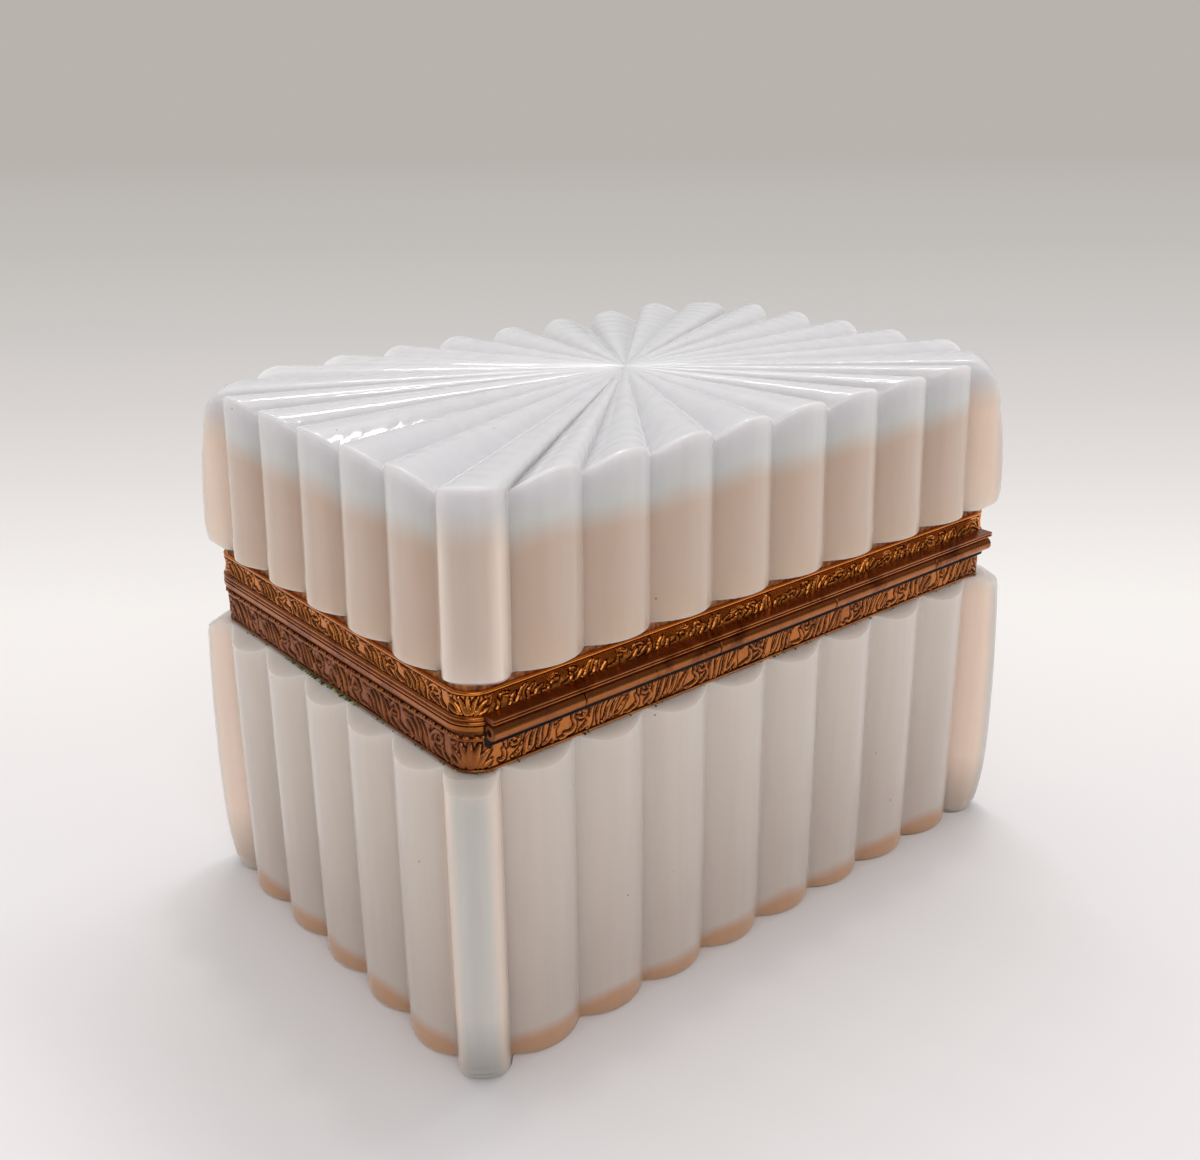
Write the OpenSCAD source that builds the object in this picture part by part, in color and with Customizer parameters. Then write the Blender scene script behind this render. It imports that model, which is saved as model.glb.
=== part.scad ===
// Reeded glass casket with a hinged lid and a gilt brass mount.
// Millimetres, +Z up. The origin is the middle of the base; X runs along the
// long walls, and the hinge is on the +Y wall.

/* [Body glass] */
// Length over the ribs of the body
body_length = 156.6; // [140:0.2:180]
// Width over the ribs of the body
body_width = 100.6; // [90:0.2:120]
// Height from the base to the plane where body and lid part
part_z = 71.4; // [55:0.2:100]
// Ribs on each long wall
long_ribs = 8; // [6:1:10]
// Ribs on each short wall
short_ribs = 5; // [4:1:7]
// How far a wall rib stands out from the valleys beside it
rib_rise = 3.7; // [2.5:0.1:4.5]
// How much less the body's ribs stand out at the mount and at the foot
rib_swell = 0.3; // [0.1:0.1:0.8]
// Length of wall that a corner column takes from a long wall of the body
body_corner_x = 7.8; // [7:0.1:10]
// Length of wall that a corner column takes from a short wall of the body
body_corner_y = 6; // [5.5:0.1:8]
// How far a corner column of the body stands out at its widest
body_corner_rise = 9.4; // [7:0.1:10]
// Height at which the body's corner columns are widest
belly_z = 25; // [15:1:40]
// How far a corner column draws in from there to the mount
belly_top_in = 1.4; // [0:0.1:2]
// How far a corner column draws in from there to its foot
belly_foot_in = 2.6; // [0:0.1:3]
// How square the corner columns are; 2 is round
column_square = 2.8; // [2:0.1:4]
// Thickness of the base in the middle of the box
base_t = 9; // [6:0.5:14]
// Radius of the ribs' ground feet
foot_r = 1; // [0.6:0.1:3]
// Extra radius at the feet of the corner columns
corner_foot_r = 1; // [0.5:0.1:4]
// Depth of the hollow ground under the base
base_hollow = 1.4; // [0.6:0.1:2.5]
// Width of the flat ring that the box stands on
stand_ring = 8; // [5:0.5:12]

/* [Lid glass] */
// Height of the lid's ridges over the parting plane
lid_height = 44.1; // [34:0.1:60]
// How far the lid's valleys lie inside the mount on the short walls
lid_inset_x = 1.6; // [1.5:0.1:2.5]
// How far the lid's valleys lie inside the mount on the long walls
lid_inset_y = 0.9; // [0.5:0.1:1.5]
// Length of wall that a corner column takes from a long wall of the lid
lid_corner_x = 8.8; // [7:0.1:10]
// Length of wall that a corner column takes from a short wall of the lid
lid_corner_y = 7.8; // [6.5:0.1:9]
// How far a corner column of the lid stands out where it is widest
lid_corner_rise = 9.1; // [6.5:0.1:9.5]
// Height at which the lid's corner columns are widest
lid_belly_z = 87; // [84:1:100]
// How far a corner column of the lid draws in towards the top
lid_top_in = 1.1; // [0:0.1:2]
// How far a corner column of the lid draws in towards the mount
lid_foot_in = 0.6; // [0:0.1:2]
// Rise of each petal of the top between its valleys
petal_rise = 3.5; // [2:0.1:4.5]
// Rounding where a petal turns down into its rib
shoulder_r = 0.8; // [0.5:0.1:3]
// Height of the dome on top of a corner column
corner_dome_h = 12.5; // [4:0.5:14]
// Slope at which that dome leaves the edge
corner_dome_slope = 35; // [20:5:60]
// Rise of a corner petal between its valleys
corner_petal_rise = 2.2; // [1:0.1:3.5]
// Rise of the edge where a corner petal meets its dome
corner_edge_rise = 0.6; // [0:0.1:1]
// Share of a corner petal's length that slopes down to that edge
corner_slope = 0.04; // [0.02:0.01:0.1]
// Share by which the lid narrows from its rim to its top
lid_taper = 0.012; // [0:0.001:0.03]
// Glass between the valleys of the top and the inside
lid_top_t = 7; // [5:0.5:10]
// Where the cutter set the middle of the sunburst, along X
burst_x = -1.6; // [-3:0.1:3]
// Where the cutter set the middle of the sunburst, along Y
burst_y = 1.4; // [-3:0.1:3]

/* [Glass rims] */
// Height of the bevel ground on the body's ribs below the mount
bevel_h = 2; // [1:0.1:3]
// Height of the slight bevel under the lid's ribs
lid_bevel_h = 0.3; // [0.1:0.1:1]
// Height of the bevel under the lid's corner columns
lid_corner_bevel_h = 1.8; // [0.3:0.1:3]
// How far a bevel reaches into the corner columns
bevel_in = 3; // [2:0.1:3.2]
// How far the lid's ribs end above its band, where the plaster shows
rib_clear = 1.5; // [0.5:0.1:2.5]
// Thickness of the glass neck inside the mount
neck_wall = 3.6; // [3:0.1:5]
// Corner radius of the inside of the glass
cavity_r = 4; // [3:0.1:6]
// Radius between the inside walls and the floor or the ceiling
cove_r = 6; // [3:0.5:7]

/* [Mount] */
// How far the mount lies inside the body's valleys on the short walls
mount_in_x = 0.6; // [0.2:0.1:1]
// How far the mount stands out from the body's valleys on the long walls
mount_out_y = 1; // [0.5:0.1:1.5]
// Corner radius of the mount
mount_r = 5.5; // [5:0.1:7]
// Thickness of the brass bands
band_t = 0.9; // [0.7:0.05:1.2]
// Thickness of the plaster between brass and glass
cement_t = 0.8; // [0.5:0.1:1]
// Height of the body's band
body_band_h = 7.6; // [6:0.1:10]
// Height of the lid's band
lid_band_h = 6.3; // [5.5:0.1:9]
// Thickness of the flat brass rims that meet when the lid is shut
flange_t = 0.8; // [0.6:0.05:1.2]
// How far the lid's flat rim stands out from its band
flange_out = 0.5; // [0.3:0.05:0.8]
// Plain border above and below the body's ornament
border_h = 0.7; // [0.5:0.05:1]
// Depth of the field that the ornament stands in
field_depth = 0.25; // [0.15:0.05:0.4]
// Radius of the half-round moulding round the foot of the lid's band
bead_r = 0.9; // [0.6:0.05:1.1]
// Radius of the beaded wire along the top of the body's band
beading_r = 0.5; // [0.3:0.05:0.6]
// Depth of the hollow curve in the lid's band
cove_depth = 0.35; // [0.2:0.05:0.5]
// Radius of that hollow curve
cove_band_r = 4.4; // [4:0.1:6]

/* [Inner rims] */
// Thickness of the inner rims
liner_t = 0.8; // [0.6:0.05:1]
// Gap between the glass and the inner rims
liner_gap = 0.05; // [0.05:0.01:0.2]
// Depth of the inner rims down the glass
liner_h = 9.2; // [6:0.1:12]
// Thickness of the locating rim
locator_t = 1; // [0.9:0.05:1.4]
// How far the locating rim stands above the parting plane
locator_up = 2.5; // [1.5:0.1:3.5]
// How far the locating rim reaches below the parting plane
locator_down = 5; // [3:0.1:7]
// Clearance between the locating rim and the lid
locator_gap = 0.4; // [0.3:0.05:0.6]

/* [Hinge] */
// How far the hinge stops short of the mount's ends
hinge_end = 3.5; // [3:0.5:8]
// Outer radius of the knuckles
knuckle_r = 1.5; // [1.3:0.05:1.6]
// Radius of the hinge pin
pin_r = 0.6; // [0.5:0.05:0.8]
// Running clearance round the pin
pin_gap = 0.05; // [0.02:0.01:0.1]
// Clearance between the knuckles and the bands
barrel_gap = 0.1; // [0.06:0.02:0.2]
// Gap between two knuckles
knuckle_gap = 0.2; // [0.1:0.05:0.3]
// Share of the hinge's length that each of the three inner knuckles takes
inner_share = 0.238; // [0.18:0.002:0.24]
// How far the pin's ends lie inside the outer knuckles
pin_recess = 1; // [0.5:0.1:2]
// Space between the knuckles and the lid's leaf
leaf_gap = 0.4; // [0.3:0.05:0.5]
// Thickness of the lid's leaf
leaf_t = 1.1; // [0.9:0.05:1.3]
// How far the web under the lid's leaf reaches past the pin's axis
web_out = 0.6; // [0.4:0.05:0.8]
// Distance from the pin's axis down to the body's leaf
foot_drop = 2.4; // [2.3:0.05:2.6]
// Height of the body's leaf
body_leaf_h = 1.4; // [1:0.1:1.8]
// How far the body's leaf stands out from the band
body_leaf_t = 0.8; // [0.5:0.05:1]
// Angle at which the open lid meets its stop
lid_open = 115; // [100:1:116]
// Clearance left at that stop
stop_gap = 0.04; // [0.02:0.01:0.1]

/* [Thumb piece] */
// Width of the thumb piece
thumb_w = 14; // [11:0.5:20]
// Thickness of the thumb piece
thumb_t = 1.2; // [1:0.1:1.6]
// How far its lip stands out from the plate
lip_out = 3.8; // [2.5:0.1:5]
// Radius of the lip's edge
lip_r = 7; // [6:0.5:9]
// Distance between the two rivets
rivet_pitch = 8.4; // [7:0.1:9]
// Radius of the rivets
rivet_r = 0.6; // [0.5:0.05:0.7]
// Radius of the rivets' heads
rivet_head_r = 1.1; // [0.9:0.05:1.3]
// Clearance round each rivet
rivet_gap = 0.03; // [0.02:0.01:0.06]

/* [Hidden] */
$fn = 64;

gilt = "#b07a2c";
old_brass = "#8a5f3c";
opal = "#d8d2cf";
plaster = "#4a3a2c";

// Facets of one wall rib and of one corner column
rib_steps = 6;
corner_steps = 8;
// Steps round a rounded shoulder, foot or cove
round_steps = 3;

// Half sizes at the valleys, where the ribs meet
body_x = body_length / 2 - rib_rise;
body_y = body_width / 2 - rib_rise;
mount_x = body_x - mount_in_x;
mount_y = body_y + mount_out_y;
lid_x = mount_x - lid_inset_x;
lid_y = mount_y - lid_inset_y;
neck_x = mount_x - band_t - cement_t;
neck_y = mount_y - band_t - cement_t;
neck_r = mount_r - band_t - cement_t;
cavity_x = neck_x - neck_wall;
cavity_y = neck_y - neck_wall;
liner_in = liner_gap + liner_t;
liner_x = cavity_x - liner_in;
liner_y = cavity_y - liner_in;
liner_r = cavity_r - liner_in;

// Heights
body_rim_z = part_z - flange_t;
body_band_z = body_rim_z - body_band_h;
lid_rim_z = part_z + flange_t;
lid_band_top = lid_rim_z + lid_band_h;
lid_seat_z = lid_band_top + rib_clear;
ridge_z = part_z + lid_height;
valley_z = ridge_z - petal_rise;
ceiling_z = valley_z - lid_top_t;

// Hinge
hinge_half = mount_x - hinge_end;
axis_y = mount_y + knuckle_r + barrel_gap;
leaf_out = knuckle_r;
leaf_under = knuckle_r + leaf_gap;
leaf_reach = norm([leaf_out, leaf_under]);
stop_out = leaf_reach * cos(lid_open - atan2(leaf_under, leaf_out)) - stop_gap;
face_in = knuckle_r + barrel_gap;
middle_half = inner_share * hinge_half;
inner_end = 3 * middle_half;

// Thumb piece
thumb_z = lid_rim_z;
rivet_z = lid_rim_z + lid_band_h * 0.56;
thumb_h = lid_band_h - 0.3;

function unit(v) = v / norm(v);

// How much a rib or column has drawn in at a height, as a share of what it draws in at the
// mount or at the foot
function drawn_in(z) =
    z > belly_z ? pow((z - belly_z) / (body_band_z - belly_z), 2) : pow(1 - z / belly_z, 3);

// One point of a wall rib, whose section is an arc: its place, its rise (0 in the valley, 1 on
// the crest), whether it is on a corner column, the wall it belongs to, its foot on the
// bevel's inner edge, and its step along the rib.
function rib_point(a, b, rise, step, wall) =
    let (chord = norm(b - a),
         along = (b - a) / chord,
         out = [along.y, -along.x],
         r = (chord * chord / 4 + rise * rise) / (2 * rise),
         turn = asin(chord / 2 / r) * (2 * step / rib_steps - 1),
         height = r * cos(turn) + rise - r,
         place = (a + b) / 2 + out * height + along * r * sin(turn))
    step == 0 ? [a, 0, false, wall, a, step]
    : [place, height / rise, false, wall, a + (b - a) * step / rib_steps, step];

// The same for a corner column, whose section is half of a squared ellipse
function column_point(a, b, rise, step, wall) =
    let (along = (b - a) / 2,
         out = unit([along.y, -along.x]),
         turn = 180 * step / corner_steps,
         run = -sign(cos(turn)) * pow(abs(cos(turn)), 2 / column_square),
         lift = pow(sin(turn), 2 / column_square),
         middle = (a + b) / 2 + along * run)
    [middle + out * rise * lift, lift, true, wall, middle + out * (rise - bevel_in) * lift, step];

// The corners of the plan, counter-clockwise from the start of the +X wall
function plan_corners(hx, hy, cx, cy) =
    let (sx = hx - cx, sy = hy - cy)
    concat([for (i = [0 : short_ribs]) [hx, -sy * (1 - 2 * i / short_ribs)]],
           [for (i = [0 : long_ribs]) [sx * (1 - 2 * i / long_ribs), hy]],
           [for (i = [0 : short_ribs]) [-hx, sy * (1 - 2 * i / short_ribs)]],
           [for (i = [0 : long_ribs]) [-sx * (1 - 2 * i / long_ribs), -hy]]);

// Index of the last plan corner on each wall, where a corner column begins
wall_ends = [short_ribs, short_ribs + long_ribs + 1, 2 * short_ribs + long_ribs + 2,
             2 * short_ribs + 2 * long_ribs + 3];
function wall_of(i) =
    i <= wall_ends[0] ? 0 : i <= wall_ends[1] ? 1 : i <= wall_ends[2] ? 2 : 3;

function reeded_plan(hx, hy, cx, cy, corner_rise, wall_rise) =
    let (ends = plan_corners(hx, hy, cx, cy), n = len(ends))
    [for (i = [0 : n - 1])
        let (wall = wall_of(i),
             corner = i == wall_ends[wall],
             next = ends[(i + 1) % n])
        for (k = [0 : (corner ? corner_steps : rib_steps) - 1])
            corner ? column_point(ends[i], next, corner_rise, k, wall)
            : rib_point(ends[i], next, wall_rise, k, wall)];

function body_plan(z) =
    let (most = z > belly_z ? belly_top_in : belly_foot_in)
    reeded_plan(body_x, body_y, body_corner_x, body_corner_y,
                body_corner_rise - most * drawn_in(z), rib_rise - rib_swell * drawn_in(z));
function lid_plan(corner_in) =
    reeded_plan(lid_x, lid_y, lid_corner_x, lid_corner_y, lid_corner_rise - corner_in, rib_rise);

// A rounded rectangle with one point for each point of the plan
function round_ring(plan, hx, hy, r, z) =
    [for (p = plan)
        let (wall = p[3],
             sign_x = wall == 0 || wall == 3 ? 1 : -1,
             sign_y = wall < 2 ? 1 : -1,
             foot = p[4],
             fx = min(hx - r, max(r - hx, foot.x)),
             fy = min(hy - r, max(r - hy, foot.y)),
             turn = 90 * (wall + p[5] / (corner_steps - 1)))
        p[2] ? [sign_x * (hx - r) + r * cos(turn), sign_y * (hy - r) + r * sin(turn), z]
        : wall % 2 == 0 ? [sign_x * hx, fy, z] : [fx, sign_y * hy, z]];

// The inside of a glass shell, from its rim to the middle of its floor or ceiling
function cavity_rings(plan, rim, end) =
    let (way = end > rim ? 1 : -1)
    concat([round_ring(plan, cavity_x, cavity_y, cavity_r, rim)],
           [for (i = [0 : round_steps])
               let (turn = 90 * i / round_steps,
                    in = cove_r * (1 - cos(turn)))
               round_ring(plan, cavity_x - in, cavity_y - in, cavity_r,
                          end - way * cove_r * (1 - sin(turn)))]);

// The ground bevel beside the mount, then the neck that the mount holds
function neck_rings(plan, seat, rim, bevel, corner_bevel) =
    [[for (p = plan) [p[0].x, p[0].y, seat + (p[2] ? corner_bevel : bevel) * p[1]]],
     [for (p = plan) [p[4].x, p[4].y, seat]],
     round_ring(plan, neck_x, neck_y, neck_r, seat),
     round_ring(plan, neck_x, neck_y, neck_r, rim)];

// Closes a stack of rings, from one middle point to another. The stack runs up the outside
// and down the inside; turned is true where it runs the other way.
module ring_shell(first, rings, last, turned) {
    n = len(rings[0]);
    m = len(rings);
    points = concat([first], [for (ring = rings) for (p = ring) p], [last]);
    end = m * n + 1;
    faces = concat(
        [for (k = [0 : n - 1]) [0, 1 + k, 1 + (k + 1) % n]],
        [for (i = [0 : m - 2]) for (k = [0 : n - 1])
            let (a = 1 + i * n + k, b = 1 + i * n + (k + 1) % n)
            for (f = [[a, a + n, b + n], [a, b + n, b]]) f],
        [for (k = [0 : n - 1])
            [end, 1 + (m - 1) * n + (k + 1) % n, 1 + (m - 1) * n + k]]);
    polyhedron(points = points, faces = turned ? [for (f = faces) [f[2], f[1], f[0]]] : faces);
}

module body_glass() {
    foot_plan = body_plan(0);
    top_plan = body_plan(body_band_z);
    feet = [for (i = [0 : round_steps])
        let (turn = 90 * i / round_steps)
        [for (p = foot_plan)
            let (r = foot_r + (p[2] ? corner_foot_r * p[1] : 0),
                 place = p[0] - unit(p[0]) * r * (1 - sin(turn)))
            [place.x, place.y, r * (1 - cos(turn))]]];
    walls = [for (share = [0.25, 0.5, 1, 1.7])
        let (z = belly_z * share)
        [for (p = body_plan(z)) [p[0].x, p[0].y, z]]];
    stand = round_ring(foot_plan, body_x - stand_ring, body_y - stand_ring, cavity_r, 0);
    color(opal)
    ring_shell([0, 0, base_hollow],
               concat([stand], feet, walls,
                      neck_rings(top_plan, body_band_z, body_rim_z, -bevel_h, -bevel_h),
                      cavity_rings(top_plan, body_rim_z, base_t)),
               [0, 0, base_t], false);
}

// The lid's shoulders: a small rounding on each rib, and a dome on each corner column, which
// starts on the straight line between the column's valleys. share runs from 0 to 1.
function lid_shoulder(share, burst) =
    let (slope = corner_dome_slope + (90 - corner_dome_slope) * share,
         out = (sin(slope) - sin(corner_dome_slope)) / (1 - sin(corner_dome_slope)),
         down = 1 - cos(slope) / cos(corner_dome_slope),
         turn = 90 * (1 - share))
    [for (p = lid_plan(lid_top_in + (lid_corner_rise - lid_top_in) * (1 - out)))
        let (top = p[0] * (1 - lid_taper),
             place = p[2] ? top : top + unit(burst - top) * shoulder_r * (1 - cos(turn)),
             rise = (p[2] ? corner_edge_rise : petal_rise) * p[1],
             drop = p[2] ? (shoulder_r + (corner_dome_h - shoulder_r) * p[1]) * down
                  : shoulder_r * (1 - sin(turn)))
        [place.x, place.y, valley_z + rise - drop]];

module lid_glass() {
    plan = lid_plan(lid_foot_in);
    tip = [burst_x, burst_y, ridge_z];
    shoulders = [for (i = [0 : round_steps]) lid_shoulder(i / round_steps, [tip.x, tip.y])];
    petals = [for (k = [0 : len(plan) - 1])
        let (p = plan[k],
             up = p[2] ? (corner_petal_rise - corner_edge_rise) * p[1] : 0)
        tip + (shoulders[0][k] + [0, 0, up] - tip) * (1 - corner_slope)];
    belly = [for (p = lid_plan(0))
        let (place = p[0] * (1 - lid_taper * (lid_belly_z - lid_seat_z) / (valley_z - lid_seat_z)))
        [place.x, place.y, lid_belly_z]];
    color(opal)
    ring_shell(tip,
               concat([petals], shoulders, [belly],
                      neck_rings(plan, lid_seat_z, lid_rim_z, lid_bevel_h, lid_corner_bevel_h),
                      cavity_rings(plan, lid_rim_z, ceiling_z)),
               [0, 0, ceiling_z], true);
}

module rounded(hx, hy, r) {
    square([2 * (hx - r), 2 * hy], center = true);
    square([2 * hx, 2 * (hy - r)], center = true);
    for (sx = [-1, 1], sy = [-1, 1])
        translate([sx * (hx - r), sy * (hy - r)]) circle(r);
}

// A flat frame that lies between two insets from the mount's outer face
module frame(outer, inner, inner_r, z, height) {
    translate([0, 0, z])
    linear_extrude(height)
    difference() {
        rounded(mount_x + outer, mount_y + outer, mount_r + outer);
        rounded(mount_x - inner, mount_y - inner, inner_r);
    }
}

// Carries a section round the mount. The section's x is measured out from the mount's face.
module frame_sweep() {
    straight_x = mount_x - mount_r;
    straight_y = mount_y - mount_r;
    for (wall = [0 : 3]) {
        side = wall % 2 == 0 ? straight_x : straight_y;
        run = wall % 2 == 0 ? straight_y : straight_x;
        rotate([0, 0, 90 * wall])
        translate([side, run, 0]) {
            rotate_extrude(angle = 90) translate([mount_r, 0]) children();
            rotate([90, 0, 0]) linear_extrude(2 * run) translate([mount_r, 0]) children();
        }
    }
}

// The part of the back face that the hinge takes
module hinge_bay(z, height) {
    room = hinge_half + knuckle_gap;
    translate([-room, mount_y - mount_r / 2, z]) cube([2 * room, mount_r + 2, height]);
}

module body_cement() {
    color(plaster)
    frame(-band_t, band_t + cement_t, neck_r, body_band_z, body_band_h);
}

module lid_cement() {
    color(plaster)
    frame(-band_t, band_t + cement_t, neck_r, lid_rim_z, lid_seat_z - lid_rim_z);
}

module body_band() {
    color(gilt)
    frame_sweep()
    translate([0, body_band_z])
    polygon([[-band_t, 0], [0, 0], [0, border_h], [-field_depth, border_h + field_depth],
             [-field_depth, body_band_h - beading_r * 2 - border_h - field_depth],
             [0, body_band_h - beading_r * 2 - border_h], [0, body_band_h],
             [-band_t, body_band_h]]);
}

module body_beading() {
    color(gilt)
    difference() {
        frame_sweep()
        translate([0, body_rim_z - beading_r - border_h / 4])
        intersection() {
            circle(beading_r);
            translate([0, -beading_r]) square(2 * beading_r);
        }
        hinge_bay(body_band_z, body_band_h);
    }
}

module body_flange() {
    color(gilt)
    translate([0, 0, body_rim_z])
    linear_extrude(flange_t)
    difference() {
        rounded(mount_x, mount_y, mount_r);
        rounded(liner_x, liner_y, liner_r);
    }
}

module liner(z) {
    translate([0, 0, z])
    linear_extrude(liner_h)
    difference() {
        rounded(liner_x + liner_t, liner_y + liner_t, liner_r + liner_t);
        rounded(liner_x, liner_y, liner_r);
    }
}

module body_liner() {
    color(gilt) liner(body_rim_z - liner_h);
}

module locating_rim() {
    color(gilt)
    translate([0, 0, part_z - locator_down])
    difference() {
        union() {
            linear_extrude(locator_down) rounded(liner_x, liner_y, liner_r);
            linear_extrude(locator_down + locator_up)
            rounded(liner_x - locator_gap, liner_y - locator_gap, liner_r - locator_gap);
        }
        translate([0, 0, -1])
        linear_extrude(locator_down + locator_up + 2)
        rounded(liner_x - locator_t, liner_y - locator_t, liner_r - locator_t);
    }
}

module lid_band() {
    seat = 2 * bead_r;
    hollow_z = (seat + lid_band_h - border_h) / 2;
    color(gilt)
    difference() {
        frame_sweep()
        translate([-band_t, lid_rim_z])
        difference() {
            square([band_t, lid_band_h]);
            translate([band_t - cove_depth + cove_band_r, hollow_z]) circle(cove_band_r);
        }
        rivet_holes();
    }
}

module lid_bead() {
    gap = thumb_w + 2 * knuckle_gap;
    color(gilt)
    difference() {
        frame_sweep()
        translate([0, lid_rim_z + bead_r])
        intersection() {
            circle(bead_r);
            translate([0, -bead_r]) square(2 * bead_r);
        }
        hinge_bay(lid_rim_z, lid_band_h);
        translate([-gap / 2, -mount_y - 2 * bead_r, lid_rim_z - 1])
        cube([gap, 3 * bead_r, lid_band_h]);
    }
}

module lid_flange() {
    color(gilt)
    difference() {
        translate([0, 0, part_z])
        linear_extrude(flange_t)
        difference() {
            rounded(mount_x + flange_out, mount_y + flange_out, mount_r + flange_out);
            rounded(liner_x, liner_y, liner_r);
        }
        translate([-hinge_half - knuckle_gap, mount_y, part_z - 1])
        cube([2 * (hinge_half + knuckle_gap), 2 * flange_out, flange_t + 2]);
    }
}

module lid_liner() {
    color(gilt) liner(lid_rim_z);
}

// A knuckle with its bore, between two places along the hinge. reach_z is where its web
// meets the leaf, and web_reach is how far the web comes out past the axis.
module knuckle(from, to, web_reach, reach_z) {
    color(old_brass)
    translate([from, axis_y, part_z])
    difference() {
        union() {
            rotate([0, 90, 0]) cylinder(r = knuckle_r, h = to - from);
            translate([0, -face_in, min(0, reach_z)])
            cube([to - from, face_in + web_reach, abs(reach_z)]);
        }
        translate([-1, 0, 0]) rotate([0, 90, 0])
        cylinder(r = pin_r + pin_gap, h = to - from + 2);
    }
}

module body_knuckle(from, to) {
    knuckle(from, to, stop_out, -foot_drop);
}

module lid_knuckle(from, to) {
    knuckle(from, to, web_out, leaf_under);
}

module body_knuckle_left() {
    body_knuckle(-hinge_half, -inner_end - knuckle_gap / 2);
}

module body_knuckle_middle() {
    body_knuckle(-middle_half + knuckle_gap / 2, middle_half - knuckle_gap / 2);
}

module body_knuckle_right() {
    body_knuckle(inner_end + knuckle_gap / 2, hinge_half);
}

module lid_knuckle_left() {
    lid_knuckle(-inner_end + knuckle_gap / 2, -middle_half - knuckle_gap / 2);
}

module lid_knuckle_right() {
    lid_knuckle(middle_half + knuckle_gap / 2, inner_end - knuckle_gap / 2);
}

module lid_hinge_leaf() {
    color(old_brass)
    translate([-hinge_half, mount_y, part_z + leaf_under])
    cube([2 * hinge_half, axis_y + leaf_out - mount_y, leaf_t]);
}

module body_hinge_leaf() {
    color(old_brass)
    translate([-hinge_half, mount_y, part_z - foot_drop - body_leaf_h])
    cube([2 * hinge_half, body_leaf_t, body_leaf_h]);
}

module hinge_pin() {
    pin_half = hinge_half - pin_recess;
    color(old_brass)
    translate([-pin_half, axis_y, part_z]) rotate([0, 90, 0])
    cylinder(r = pin_r, h = 2 * pin_half);
}

module rivet_holes() {
    for (side = [-1, 1])
        translate([side * rivet_pitch / 2, -mount_y + band_t + 1, rivet_z])
        rotate([90, 0, 0]) cylinder(r = rivet_r + rivet_gap, h = band_t + thumb_t + 2);
}

module thumb_piece() {
    shoulder = thumb_w / 2 - 2;
    color(gilt)
    difference() {
        union() {
            translate([0, -mount_y, thumb_z])
            rotate([90, 0, 0])
            linear_extrude(thumb_t) {
                translate([-thumb_w / 2, 0]) square([thumb_w, thumb_h / 2]);
                for (side = [-1, 1])
                    translate([side * shoulder, thumb_h / 2]) circle(2);
                translate([-shoulder, 0]) square([2 * shoulder, thumb_h / 2 + 2]);
                translate([0, thumb_h - shoulder / 2]) circle(shoulder / 2);
            }
            intersection() {
                translate([0, -mount_y - thumb_t - lip_out + lip_r, thumb_z])
                cylinder(r = lip_r, h = thumb_t);
                translate([-thumb_w / 2, -mount_y - thumb_t - lip_out, thumb_z])
                cube([thumb_w, lip_out + thumb_t / 2, thumb_t]);
            }
        }
        rivet_holes();
    }
}

module thumb_rivets() {
    color(old_brass)
    for (side = [-1, 1])
        translate([side * rivet_pitch / 2, -mount_y - thumb_t, rivet_z])
        rotate([90, 0, 0]) {
            translate([0, 0, -thumb_t - band_t]) cylinder(r = rivet_r, h = thumb_t + band_t);
            cylinder(r1 = rivet_head_r, r2 = rivet_head_r / 2, h = rivet_head_r / 2);
        }
}

body_glass();
body_cement();
body_band();
body_beading();
body_flange();
body_liner();
locating_rim();
lid_glass();
lid_cement();
lid_band();
lid_bead();
lid_flange();
lid_liner();
body_hinge_leaf();
body_knuckle_left();
body_knuckle_middle();
body_knuckle_right();
lid_hinge_leaf();
lid_knuckle_left();
lid_knuckle_right();
hinge_pin();
thumb_piece();
thumb_rivets();
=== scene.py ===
"""Dresses the reeded opal-glass casket: cut glass, chased gilt mount, hinge and thumb piece."""
import math
import random
from functools import partial

import bmesh
import bpy
import numpy as np
from bpy.props import FloatProperty, FloatVectorProperty, IntProperty, PointerProperty
from mathutils import Matrix, Vector


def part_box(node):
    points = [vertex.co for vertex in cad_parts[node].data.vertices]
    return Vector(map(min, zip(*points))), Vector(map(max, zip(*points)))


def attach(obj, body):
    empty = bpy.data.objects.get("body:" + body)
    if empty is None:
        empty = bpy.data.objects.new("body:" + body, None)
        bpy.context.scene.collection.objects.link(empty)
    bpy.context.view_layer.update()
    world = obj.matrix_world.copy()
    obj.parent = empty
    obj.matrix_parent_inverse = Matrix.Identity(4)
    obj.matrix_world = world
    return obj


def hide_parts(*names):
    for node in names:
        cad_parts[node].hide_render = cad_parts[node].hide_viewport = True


bl_info = {
    "name": "Reeded glass casket",
    "version": (1, 0, 0),
    "blender": (4, 5, 0),
    "location": "View3D > Sidebar > Casket",
    "description": "Dresses a reeded opal-glass casket with its gilt mount",
    "category": "Object",
}

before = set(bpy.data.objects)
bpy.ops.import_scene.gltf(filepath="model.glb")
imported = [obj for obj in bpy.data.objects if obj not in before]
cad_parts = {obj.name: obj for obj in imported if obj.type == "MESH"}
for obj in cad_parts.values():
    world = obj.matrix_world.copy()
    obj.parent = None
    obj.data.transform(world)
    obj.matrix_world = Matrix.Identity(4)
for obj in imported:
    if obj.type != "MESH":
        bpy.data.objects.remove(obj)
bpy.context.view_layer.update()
MM = 0.001


def grain(millimetres):
    """The scale that gives a texture's pattern this size."""
    return 1 / (millimetres * MM)


def length(name, millimetres, description):
    """A size that a user may change."""
    return FloatProperty(name=name, description=description, default=millimetres * MM,
                         unit="LENGTH", subtype="DISTANCE", precision=5)


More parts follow.
